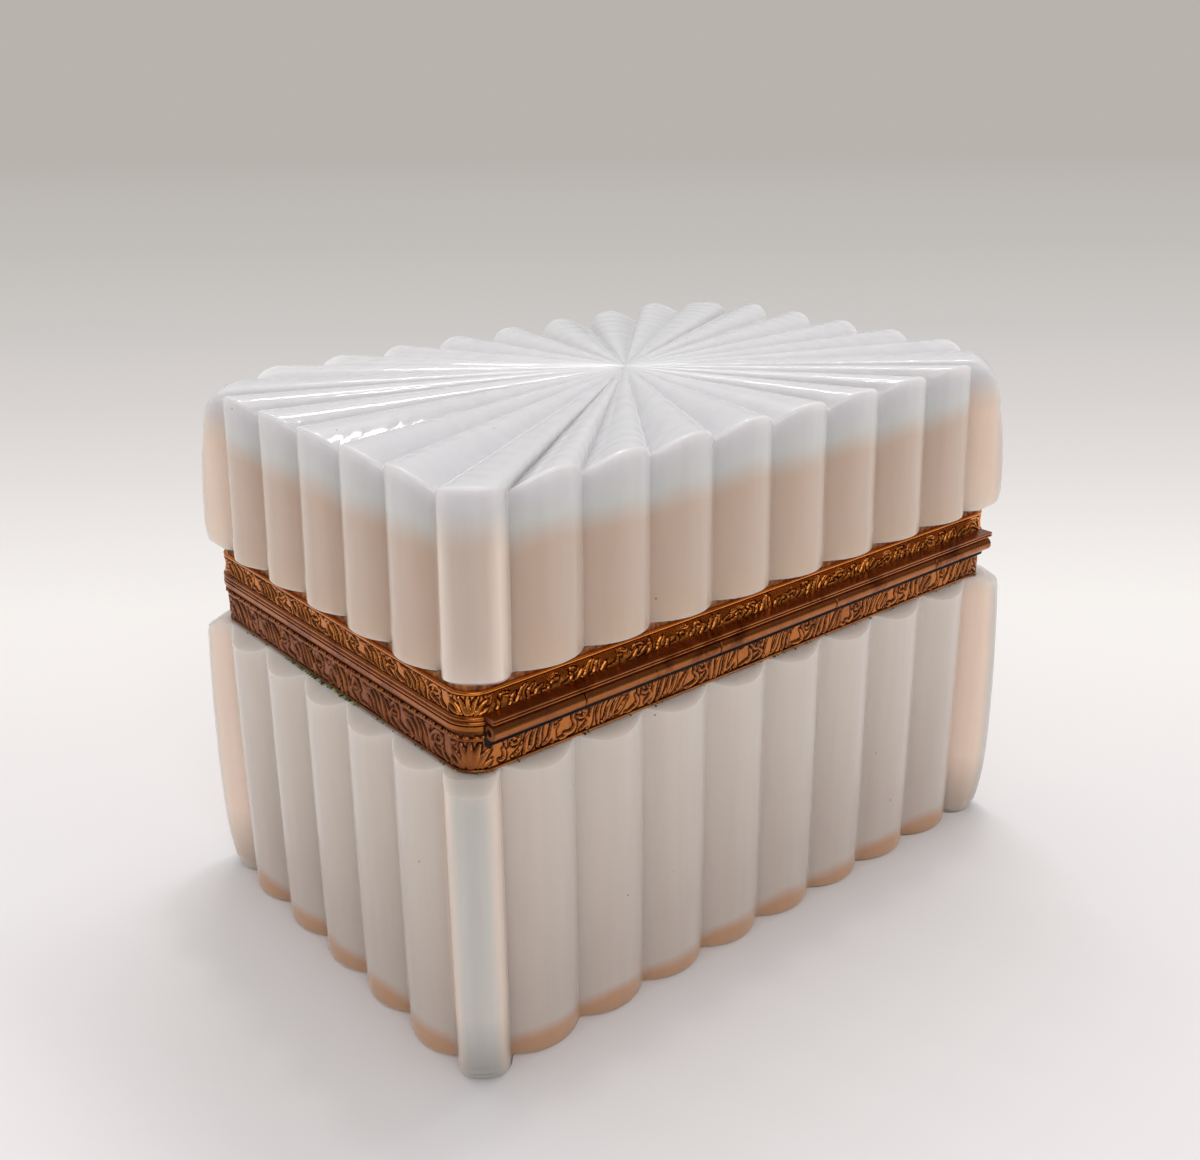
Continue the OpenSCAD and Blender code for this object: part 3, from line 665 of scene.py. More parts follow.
def swept_run(bm, run, profile):
    """Carries a closed section along an open run of stations and closes its ends."""
    loft(bm, [[Vector((*(s.place + s.out * out), z)) for out, z in profile] for s in run])
    bmesh.ops.holes_fill(bm, edges=[e for e in bm.edges if e.is_boundary], sides=0)


# Each stroke of the chasing tool in one repeat of the foliage: start, two pulls and end, all
# in shares of the repeat's width and height, then the stroke's half width as a share of the
# height, and how high it stands, where 1 is the highest.
SCROLL_STROKES = (
    ((0.03, 0.12), (0.12, 0.02), (0.24, 0.20), (0.17, 0.58), 0.10, 0.9),
    ((0.17, 0.58), (0.13, 1.00), (0.33, 1.04), (0.34, 0.70), 0.09, 1.0),
    ((0.34, 0.70), (0.35, 0.46), (0.22, 0.42), (0.24, 0.64), 0.07, 0.9),
    ((0.26, 0.06), (0.33, 0.10), (0.42, 0.26), (0.38, 0.50), 0.09, 0.8),
    ((0.36, 0.03), (0.47, 0.16), (0.42, 0.60), (0.55, 0.93), 0.105, 1.0),
    ((0.48, 0.03), (0.58, 0.18), (0.54, 0.62), (0.67, 0.97), 0.105, 1.0),
    ((0.60, 0.05), (0.70, 0.20), (0.66, 0.60), (0.78, 0.92), 0.10, 1.0),
    ((0.72, 0.06), (0.81, 0.18), (0.78, 0.50), (0.88, 0.82), 0.09, 0.9),
    ((0.83, 0.07), (0.91, 0.14), (0.90, 0.34), (0.96, 0.62), 0.085, 0.8),
    ((0.43, 0.86), (0.45, 1.00), (0.50, 1.00), (0.51, 0.90), 0.06, 0.7),
    ((0.90, 0.90), (0.95, 0.74), (1.00, 0.82), (1.05, 0.94), 0.07, 0.7),
    ((0.94, 0.08), (1.00, 0.02), (1.05, 0.04), (1.08, 0.14), 0.06, 0.7),
)
TUFT_STROKES = (
    ((0.02, 0.04), (0.10, 0.12), (0.16, 0.28), (0.12, 0.55), 0.10, 0.9),
    ((0.12, 0.55), (0.09, 0.78), (0.22, 0.84), (0.24, 0.60), 0.08, 1.0),
    ((0.20, 0.05), (0.28, 0.16), (0.25, 0.36), (0.32, 0.58), 0.09, 0.9),
    ((0.31, 0.03), (0.41, 0.14), (0.36, 0.46), (0.45, 0.86), 0.10, 1.0),
    ((0.44, 0.03), (0.53, 0.14), (0.48, 0.42), (0.56, 0.70), 0.09, 1.0),
    ((0.56, 0.05), (0.64, 0.10), (0.62, 0.28), (0.70, 0.44), 0.09, 0.9),
    ((0.70, 0.10), (0.78, 0.02), (0.88, 0.10), (0.86, 0.34), 0.085, 0.8),
    ((0.86, 0.34), (0.84, 0.50), (0.95, 0.52), (0.95, 0.36), 0.07, 0.8),
    ((0.80, 0.62), (0.84, 0.80), (0.92, 0.86), (0.98, 0.76), 0.05, 0.5),
)
CORNER_STROKES = (
    ((0.50, 0.04), (0.50, 0.30), (0.50, 0.65), (0.50, 0.97), 0.13, 1.0),
    ((0.44, 0.04), (0.40, 0.28), (0.36, 0.62), (0.27, 0.90), 0.115, 1.0),
    ((0.56, 0.04), (0.60, 0.28), (0.64, 0.62), (0.73, 0.90), 0.115, 1.0),
    ((0.37, 0.04), (0.30, 0.20), (0.22, 0.44), (0.08, 0.64), 0.11, 0.95),
    ((0.63, 0.04), (0.70, 0.20), (0.78, 0.44), (0.92, 0.64), 0.11, 0.95),
    ((0.28, 0.04), (0.20, 0.10), (0.12, 0.16), (0.02, 0.30), 0.09, 0.85),
    ((0.72, 0.04), (0.80, 0.10), (0.88, 0.16), (0.98, 0.30), 0.09, 0.85),
    ((0.02, 0.92), (0.06, 0.80), (0.12, 0.84), (0.14, 0.96), 0.07, 0.7),
    ((0.98, 0.92), (0.94, 0.80), (0.88, 0.84), (0.86, 0.96), 0.07, 0.7),
)
# How often the foliage repeats along a short and a long wall, the rows of its grid on the
# body's band and the lid's, and the points round a corner of a chased and a plain path.
REPEATS = (6, 9)
BODY_ROWS = 26
LID_ROWS = 24
CHASED_CORNER = 42
PLAIN_CORNER = 14
STROKE_STEPS = 24
# The crease that the tool leaves round each stroke: how far out its middle lies, and half its
# width.
CREASE_OUT = 0.16 * MM
CREASE_HALF = 0.24 * MM


def foliage(strokes, count, columns, rows, width, height, seed):
    """Heights of the chasing on one wall's grid: 0 in a crease, 0.5 on the ground and 1 on a
    crest. The strokes repeat count times, each time a little differently."""
    rng = random.Random(seed)
    across = ((np.arange(columns) + 0.5) / columns * width)[:, None]
    up = np.linspace(0, height, rows)[None, :]
    raised = np.zeros((columns, rows))
    crease = np.zeros((columns, rows))
    slip = 0.035 if count > 1 else 0.01
    for repeat in range(count):
        for *points, half, lift in strokes:
            moved = [(repeat + x + rng.gauss(0, slip), y + rng.gauss(0, slip)) for x, y in points]
            lift = min(1.0, lift * rng.uniform(0.8, 1.1))
            half = half * rng.uniform(0.75, 1.15)
            for i in range(STROKE_STEPS + 1):
                t = i / STROKE_STEPS
                share = [(1 - t) ** 3, 3 * t * (1 - t) ** 2, 3 * t * t * (1 - t), t ** 3]
                x, y = (sum(s * p[k] for s, p in zip(share, moved)) for k in (0, 1))
                reach = half * height * (0.3 + 0.7 * math.sin(math.pi * (0.10 + 0.84 * t)))
                x *= width / count
                span = reach + CREASE_OUT + CREASE_HALF + 0.1 * MM
                part = slice(max(0, int((x - span) / width * columns)),
                             max(0, int((x + span) / width * columns) + 2))
                away = np.hypot(across[part] - x, up - y * height)
                hump = lift * np.sqrt(np.clip(1 - (away / reach) ** 2, 0, 1))
                raised[part] = np.maximum(raised[part], hump)
                edge = 1 - np.abs(away - reach - CREASE_OUT) / CREASE_HALF
                crease[part] = np.maximum(crease[part], lift * np.clip(edge, 0, 1))
    return 0.5 + 0.5 * raised - 0.5 * crease * (raised < 0.15)


def chased_band(path, mount, counts, rows, low, high, section, strokes):
    """A brass band whose outer face carries the foliage. section(share) gives how far out the
    ground lies, from 0 at low to 1 at high; counts are the repeats on a short and a long
    wall, and strokes their foliage, which runs the other way on the +X and -Y walls. Returns
    the bmesh, with its relief stored."""
    chased = []
    for wall in range(4):
        straight = [s for s in path if s.wall == wall and not s.corner]
        width = 2 * ((mount.half_y, mount.half_x)[wall % 2] - mount.corner)
        grid = foliage(strokes[wall % 2], counts[wall % 2], len(straight), rows, width,
                       high - low, wall)
        runs_back = wall in (0, 3)
        chased += list(grid[::-1] if runs_back else grid)
        bend = [s for s in path if s.wall == wall and s.corner]
        chased += list(foliage(CORNER_STROKES, 1, len(bend), rows, math.pi / 2 * mount.corner,
                               high - low, wall))
    edge, line, soft = mount.border, 0.16 * MM, 0.12 * MM
    rings, marks = [], []

    def plain(out, z, mark):
        rings.append(band_ring(path, out, z))
        marks.append([mark] * len(path))

    # The borders. The mark of 0 along each underside edge is painted shade and dirt.
    plain(-mount.sheet, low - edge, 0.5)
    plain(-soft, low - edge, 0.0)
    plain(0, low - edge * 0.78, 0.35)
    plain(0, low - edge * 0.3, 0.8)
    plain(-line, low - edge * 0.08, 0.0)
    for row in range(rows):
        share = row / (rows - 1)
        ground = section(share)
        ring = []
        for s, grid in zip(path, chased):
            out = min(0, ground + mount.relief * (grid[row] - 0.5))
            ring.append(Vector((*(s.place + s.out * out), low + (high - low) * share)))
        rings.append(ring)
        marks.append([grid[row] for grid in chased])
    plain(-line, high + edge * 0.08, 0.0)
    plain(0, high + edge * 0.3, 0.9)
    plain(0, high + edge * 0.85, 1.0)
    plain(-soft, high + edge, 0.6)
    plain(-mount.sheet, high + edge, 0.5)
    bm = bmesh.new()
    layer = bm.verts.layers.float.new("relief")
    loft(bm, rings, closed=True)
    mark = bm.verts.layers.int["mark"]
    for i, vert in enumerate(bm.verts):
        vert[layer] = marks[i // len(path)][vert[mark]]
    return bm


def beads(path, mount, z, keep):
    """A row of small beads along the kept stations, each a little longer than it is wide."""
    sink, stretch = 0.05 * MM, 1.35
    bm = bmesh.new()
    for run in runs(path, keep):
        walked = mount.grain_pitch
        for s, following in zip(run, run[1:]):
            walked += (following.place - s.place).length
            if walked >= mount.grain_pitch:
                walked -= mount.grain_pitch
                turn = Matrix.Rotation(math.atan2(s.out.y, s.out.x), 4, "Z")
                where = Matrix.Translation((*(s.place - s.out * sink), z))
                shape = Matrix.Diagonal((1, stretch, 1, 1))
                bmesh.ops.create_icosphere(bm, subdivisions=2, radius=mount.grain,
                                           matrix=where @ turn @ shape)
    return bm


def reeds(path, mount, foot, keep):
    """The moulding at the foot of the lid's band: two small reeds side by side."""
    bm = bmesh.new()
    reed, inner = mount.bead * 0.5, -0.3 * MM
    section = [(inner, foot)]
    for middle in (foot + reed, foot + 3 * reed):
        for degrees in range(-80, 81, 20):
            turn = math.radians(degrees)
            section.append((reed * 0.9 * math.cos(turn) + 0.05 * MM,
                            middle + reed * 0.95 * math.sin(turn)))
    section.append((inner, foot + 4 * reed))
    for run in runs(path, keep):
        swept_run(bm, run, section)
    return bm


def crumbs(path, z, count):
    """Crumbs of corrosion that cling under the body's band, three in four on the +X side."""
    rng = random.Random(7)
    bm = bmesh.new()
    spots = [s for s in path if s.wall == 0 and not s.corner and 0.30 < s.run < 0.62]
    others = [s for s in path if s.wall < 2]
    for i in range(count):
        s = rng.choice(spots if i % 4 else others)
        size = rng.uniform(0.12, 0.34) * MM
        out = rng.uniform(0.0, 0.55) * MM
        shape = Matrix.Diagonal((rng.uniform(0.7, 1.4), rng.uniform(0.7, 1.4), 0.8, 1))
        where = Matrix.Translation((*(s.place + s.out * out), z))
        made = bmesh.ops.create_icosphere(bm, subdivisions=1, radius=size, matrix=where @ shape)
        for vert in made["verts"]:
            vert.co += Vector([rng.uniform(-0.2, 0.2) * size for _ in range(3)])
    return bm


# Gilt brass: struck sheet, chased, fire-gilt and rubbed. Crests and ground keep a warm gold
# gloss, the creases of the chasing hold dark dirt, and handling has worn patches to a matt
# brown, most of all on the sides that face +X. With a wear of 1 and a colour of its own it is
# bare brass that has browned, as on the hinge.
def gilt_brass(name, colours, wear, relief=True, worn_colour=None):
    """wear is the share that is rubbed bare; relief reads the chasing stored in the mesh. The
    specks of dirt are drawn as coarse as they need to be to show."""
    material, add = blank_material(name)
    place = add("TexCoord").outputs["Object"]
    patch = add("TexNoise", {"Vector": place, "Scale": grain(9.09), "Detail": 4.0,
                             "Roughness": 0.6})
    speck = add("TexNoise", {"Vector": place, "Scale": grain(0.6667), "Detail": 3.0,
                             "Roughness": 0.65})
    if relief:
        tall = add("Attribute", attribute_name="relief").outputs["Fac"]
    else:
        tall = add("MapRange", {"Value": patch, "From Min": 0.3, "From Max": 0.7,
                                "To Min": 0.25, "To Max": 0.75})
    grime = add("Math", {0: speck, 1: -0.5}, operation="ADD")
    mixed = add("Math", {0: grime, 1: 0.3, 2: tall}, operation="MULTIPLY_ADD")
    gilt = add("ValToRGB", {"Fac": mixed},
               stops=[(0.12, colours.dirt), (0.33, colours.amber), (0.5, colours.gilt)])
    bare = add("ValToRGB", {"Fac": mixed},
               stops=[(0.1, colours.dirt), (0.3, colours.umber),
                      (0.56, worn_colour or colours.rose)])
    side = add("NewGeometry").outputs["Normal"]
    facing = add("VectorMath", {0: side, 1: (1.0, -0.6, 0.0)},
                 operation="DOT_PRODUCT").outputs["Value"]
    handled = add("Math", {0: facing, 1: 0.22, 2: patch}, operation="MULTIPLY_ADD")
    rubbed = add("MapRange", {"Value": handled, "From Min": 0.35, "From Max": 0.65,
                              "To Min": max(0.0, wear - 0.3), "To Max": min(1.0, wear + 0.3)})
    worn = add("Mix", {"Factor": rubbed, 6: gilt, 7: bare}, data_type="RGBA").outputs[2]
    rough = add("MapRange", {"Value": rubbed, "From Min": 0.0, "From Max": 1.0,
                             "To Min": 0.13, "To Max": 0.29})
    bump = add("Bump", {"Height": speck, "Strength": 0.3, "Distance": 0.1 * MM})
    shader = add("BsdfPrincipled", {"Base Color": worn, "Metallic": 0.9, "Roughness": rough,
                                    "Normal": bump})
    add("OutputMaterial", {"Surface": shader})
    return material


# Verdigris: copper salts that have crept out from under the brass, dull and powdery, from
# brown-black to yellow green.
def corrosion(name, colours):
    material, add = blank_material(name)
    place = add("TexCoord").outputs["Object"]
    grit = add("TexNoise", {"Vector": place, "Scale": grain(1.429), "Detail": 2.0})
    tone = add("ValToRGB", {"Fac": grit},
               stops=[(0.35, colours.dirt), (0.5, colours.green), (0.7, colours.bloom)])
    shader = add("BsdfPrincipled", {"Base Color": tone, "Roughness": 0.95})
    add("OutputMaterial", {"Surface": shader})
    return material


# Old plaster of Paris, brown with age and bedded by hand, or brass under a crust of old grime,
# whose near-black also paints the shade under the hinge's knuckles: either is a dry, pitted matt.
def earthy_matt(name, dark, light):
    material, add = blank_material(name)
    place = add("TexCoord").outputs["Object"]
    grit = add("TexNoise", {"Vector": place, "Scale": grain(1.111), "Detail": 4.0})
    tone = add("ValToRGB", {"Fac": grit}, stops=[(0.3, dark), (0.7, light)])
    bump = add("Bump", {"Height": grit, "Strength": 0.6, "Distance": 0.3 * MM})
    shader = add("BsdfPrincipled", {"Base Color": tone, "Roughness": 0.9, "Normal": bump})
    add("OutputMaterial", {"Surface": shader})
    return material


# ---------------------------------------------------------------------------
# Hinge and thumb piece
# ---------------------------------------------------------------------------

def bar(bm, start, end, section, chamfer):
    """A bar along X with a closed section of (y, z) points and broken ends."""
    middle = [sum(p[k] for p in section) / len(section) for k in (0, 1)]
    longest = max(math.dist(p, middle) for p in section)
    rings = []
    for x, shrink in ((start, chamfer), (start + chamfer, 0), (end - chamfer, 0), (end, chamfer)):
        scale = 1 - shrink / longest
        rings.append([Vector((x, *(m + (p - m) * scale for p, m in zip(point, middle))))
                      for point in section])
    before = set(bm.verts)
    loft(bm, rings)
    edges = {e for v in bm.verts if v not in before for e in v.link_edges if e.is_boundary}
    bmesh.ops.holes_fill(bm, edges=list(edges), sides=0)


def barrel(bm, hinge, axis, start, end):
    """One knuckle: a bored cylinder with broken edges."""
    facets = 40
    edge = hinge.knuckle - hinge.chamfer
    rings = []
    for x, radius in ((start, hinge.bore), (start, edge), (start + hinge.chamfer, hinge.knuckle),
                      (end - hinge.chamfer, hinge.knuckle), (end, edge), (end, hinge.bore)):
        ring = []
        for i in range(facets):
            turn = math.tau * i / facets
            ring.append(Vector((x, axis.y + radius * math.cos(turn),
                                axis.z + radius * math.sin(turn))))
        rings.append(ring)
    loft(bm, rings, closed=True)


def knuckle_row(hinge, axis, knuckles, back, rise):
    """The bored knuckles of one half of the hinge, and the webs that tie them to its leaf."""
    barrels, webs = bmesh.new(), bmesh.new()
    section = [(back, axis.z), (back + hinge.web, axis.z), (back + hinge.web, rise), (back, rise)]
    for knuckle in knuckles:
        low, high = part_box(knuckle)
        barrel(barrels, hinge, axis, low.x, high.x)
        bar(webs, low.x, high.x, section, 0.05 * MM)
    return barrels, webs


def leaf_bar(low, high, foot, groove):
    """A leaf of the hinge: a strip with softened edges, and a groove along it if it has one."""
    soft, lip, bed = 0.15 * MM, 0.16 * MM, 0.05 * MM
    middle = (low.z + high.z) / 2
    section = [(low.y, foot), (high.y - soft, foot), (high.y, foot + soft)]
    if groove:
        section += [(high.y, middle - lip), (high.y - groove, middle - bed),
                    (high.y - groove, middle + bed), (high.y, middle + lip)]
    section += [(high.y, high.z - soft), (high.y - soft, high.z), (low.y, high.z)]
    bm = bmesh.new()
    bar(bm, low.x, high.x, section, 0.12 * MM)
    return bm


def shell_fan(bm, place, height, width):
    """A struck shell: lobes that fan out from the foot of the thumb piece, the middle longest."""
    lobes, spread, thickness = 7, 62, 0.35 * MM
    for i in range(lobes):
        turn = math.radians(-spread + 2 * spread * i / (lobes - 1))
        reach = height * (0.96 - 0.30 * abs(math.sin(turn)))
        made = bmesh.ops.create_uvsphere(bm, u_segments=12, v_segments=8, radius=1)["verts"]
        shape = (Matrix.Translation(place) @ Matrix.Rotation(turn, 4, "Y")
                 @ Matrix.Translation((0, 0, reach / 2))
                 @ Matrix.Diagonal((width, thickness, reach / 2, 1)))
        bmesh.ops.transform(bm, matrix=shape, verts=made)


# ---------------------------------------------------------------------------
# Operators
# ---------------------------------------------------------------------------

class PieceOperator:
    """Runs make() on the scene"""
    bl_options = {"REGISTER", "UNDO"}

    def execute(self, context):
        self.make(context.scene)
        return {"FINISHED"}


class CASKET_OT_glass(PieceOperator, bpy.types.Operator):
    """Cuts the two glass bodies with their ribs, corner columns and sunburst"""
    bl_idname = "casket.glass"
    bl_label = "Cut glass"

    def make(self, scene):
        glass, colours = scene.casket_glass, scene.casket_glass_colours
        body_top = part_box("body_glass")[1].z
        # Painted light: ember at the body's foot and warm and peach low on the lid stand for light
        # shining through the glass, and glow for the light through the columns' flanks.
        opal_body = opaline("Opaline, cut and polished, body", glass, colours, [
            (0.0, colours.ember), (3 * MM, colours.ember), (6 * MM, colours.dusk),
            (16 * MM, colours.dusk), (45 * MM, colours.beige), (body_top, colours.haze)],
            colours.glow, colours.rim)
        opal_lid = opaline("Opaline, cut and polished, lid", glass, colours, [
            (72 * MM, colours.warm), (88 * MM, colours.peach), (102 * MM, colours.peach),
            (107 * MM, colours.blue), (111 * MM, colours.top), (115.5 * MM, colours.top)],
            colours.glow, colours.rose)
        as_piece("body_glass_cut", body_glass(glass), "body", opal_body,
                 ("body_glass",), smooth=28)
        as_piece("lid_glass_cut", lid_glass(glass), "lid", opal_lid,
                 ("lid_glass",), smooth=28)


class CASKET_OT_mount(PieceOperator, bpy.types.Operator):
    """Makes the chased bands, the mouldings and the rims of the mount"""
    bl_idname = "casket.mount"
    bl_label = "Chased mount"

    def make(self, scene):
        mount, colours = scene.casket_mount, scene.casket_brass_colours
        drawn = gilt_brass("Gilt brass, drawn", colours, 0.5, relief=False)
        self.bands(mount, colours)
        self.mouldings(mount, scene.casket_hinge, drawn, corrosion("Verdigris, crumbled", colours))
        for name in ("lid_flange", "body_liner", "lid_liner", "locating_rim"):
            dress(name, drawn, mount.broken)
        joint = gilt_brass("Brass, darkened in the joint", colours, 1.0, relief=False,
                           worn_colour=colours.umber)
        dress("body_flange", joint, mount.broken)
        earth = scene.casket_earth_colours
        plaster = earthy_matt("Plaster of Paris, bedded by hand", earth.plaster_dark,
                              earth.plaster_light)
        for name in ("body_cement", "lid_cement"):
            dress(name, plaster)

    def bands(self, mount, colours):
        fine = mount_path(mount, mount.step, CHASED_CORNER)
        low, high = (corner.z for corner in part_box("body_band"))
        body = chased_band(fine, mount, REPEATS, BODY_ROWS, low + mount.border,
                           high - 2 * mount.grain - mount.border, lambda share: -mount.field,
                           (SCROLL_STROKES, SCROLL_STROKES))
        as_piece("body_band_chased", body, "body",
                 gilt_brass("Gilt brass, struck and rubbed", colours, 0.9), ("body_band",),
                 smooth=60)
        low, high = (corner.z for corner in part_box("lid_band"))
        lid = chased_band(fine, mount, REPEATS, LID_ROWS, low + 2 * mount.bead + 0.1 * MM,
                          high - mount.border,
                          lambda share: -mount.cove * math.sin(math.pi * share) ** 0.8,
                          (SCROLL_STROKES, TUFT_STROKES))
        as_piece("lid_band_chased", lid, "lid",
                 gilt_brass("Gilt brass, struck and chased", colours, 0.2), ("lid_band",),
                 smooth=60)

    def mouldings(self, mount, hinge, drawn, verdigris):
        plain = mount_path(mount, mount.plain_step, PLAIN_CORNER)

        def past_hinge(s):
            return not (s.wall == 1 and abs(s.place.x) < hinge.half + hinge.clear)

        def past_hinge_and_thumb(s):
            return past_hinge(s) and not (s.wall == 3 and abs(s.place.x) < mount.thumb_gap)

        middle = sum(corner.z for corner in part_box("body_beading")) / 2
        as_piece("milgrain", beads(plain, mount, middle, past_hinge), "body", drawn,
                 ("body_beading",), smooth=60)
        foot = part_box("lid_bead")[0].z
        as_piece("lid_reeds", reeds(plain, mount, foot, past_hinge_and_thumb), "lid",
                 drawn, ("lid_bead",), smooth=50)
        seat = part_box("body_band")[0].z + 0.08 * MM
        as_piece("verdigris", crumbs(plain, seat, 220), "body", verdigris)


class CASKET_OT_hinge(PieceOperator, bpy.types.Operator):
    """Makes the hinge's leaves, knuckles and pin, and the thumb piece"""
    bl_idname = "casket.hinge"
    bl_label = "Hinge and thumb piece"

    def make(self, scene):
        hinge, colours = scene.casket_hinge, scene.casket_brass_colours
        earth = scene.casket_earth_colours
        worn = gilt_brass("Brass, drawn and browned", colours, 1.0, relief=False,
                          worn_colour=colours.rust)
        # Near-black for the webs and the body's leaf: grime and painted shade under the knuckles.
        grime = earthy_matt("Brass under old grime and painted shade", earth.shade_and_grime_deep, earth.shade_and_grime_dry)
        self.knuckles(hinge, worn, grime)
        self.leaves(hinge, worn, grime)
        dress("hinge_pin", worn, 0.1 * MM)
        self.thumb_piece(scene.casket_mount, colours)
        dress("thumb_rivets", worn, 0.1 * MM)

    def knuckles(self, hinge, worn, grime):
        """Each half's webs run from the pin's height to its leaf, in grime and painted shade."""
        axis = sum(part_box("hinge_pin"), Vector()) / 2
        body_leaf, lid_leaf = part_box("body_hinge_leaf"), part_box("lid_hinge_leaf")
        for body, places, back, rise in (
                ("body", ("left", "middle", "right"), body_leaf[0].y, body_leaf[1].z - 0.3 * MM),
                ("lid", ("left", "right"), lid_leaf[0].y, lid_leaf[0].z)):
            names = tuple(f"{body}_knuckle_{place}" for place in places)
            barrels, webs = knuckle_row(hinge, axis, names, back, rise)
            as_piece(f"{body}_knuckles", barrels, body, worn, names, smooth=35)
            as_piece(f"{body}_knuckles_webs", webs, body, grime)

    def leaves(self, hinge, worn, grime):
        """The body's strip starts above its solid's foot, so that a dark gap shows under the
        barrels, and is dressed in grime and painted shade; the lid's strip is grooved."""
        for body, raised, groove, look in (("body", 0.75 * MM, 0, grime),
                                           ("lid", 0, hinge.groove, worn)):
            leaf = f"{body}_hinge_leaf"
            low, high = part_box(leaf)
            as_piece(f"{leaf}_drawn", leaf_bar(low, high, low.z + raised, groove), body,
                     look, (leaf,), smooth=30)

    def thumb_piece(self, mount, colours):
        gilt = gilt_brass("Gilt brass, cast and chased", colours, 0.3, relief=False)
        dress("thumb_piece", gilt, 0.25 * MM)
        low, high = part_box("thumb_piece")
        shell = bmesh.new()
        foot = Vector((0, -mount.half_y - 1.2 * MM, low.z + 1.3 * MM))
        shell_fan(shell, foot, high.z - low.z - 1.6 * MM, 0.42 * MM)
        as_piece("thumb_shell", shell, "lid", gilt, smooth=60)


FLOOR_RADIUS = 6
# The direction, seen from above, in which the floor runs away behind the box, and how far it
# takes to reach the backdrop's colour.
AWAY = (-0.640, -0.768, 0.0)
FLOOR_DEPTH = 2.0
# How the floor greys between its brightest part and the backdrop, a painted fall of light:
# (share of the depth, colour).
FLOOR_TONES = ((0.15, "#e3dedc"), (0.21, "#d8d3d1"), (0.31, "#ccc8c5"), (0.5, "#c2beba"))
# Each lamp's name, place, the direction of its length, length, width and power.
LAMPS = (
    ("window", (-0.1, -0.35, 1.1), (1, 0, 0), 0.9, 0.9, 1.8),
    ("fill", (0.55, 0.80, 0.6), (1, 0, 0), 0.8, 0.8, 2.7),
    ("strip", (-0.46, -0.29, 1.23), (-0.285, 0.68, 0.05), 0.95, 0.05, 4.6),
    ("spark", (-0.22, -0.10, 1.4), (1, 0, 0), 0.08, 0.08, 1.2),
)
# The camera: where it stands, the angles of its view in degrees, and its lens in pixels of a
# frame of this width.
CAMERA_PLACE = (0.18644, 0.21794, 0.18127)
AZIMUTH, ELEVATION, ROLL = 39.818, 20.229, -0.522
FRAME_WIDTH = 1200
FOCAL_PIXELS = 1356.11
SHIFT_PIXELS = -40
SENSOR = 36


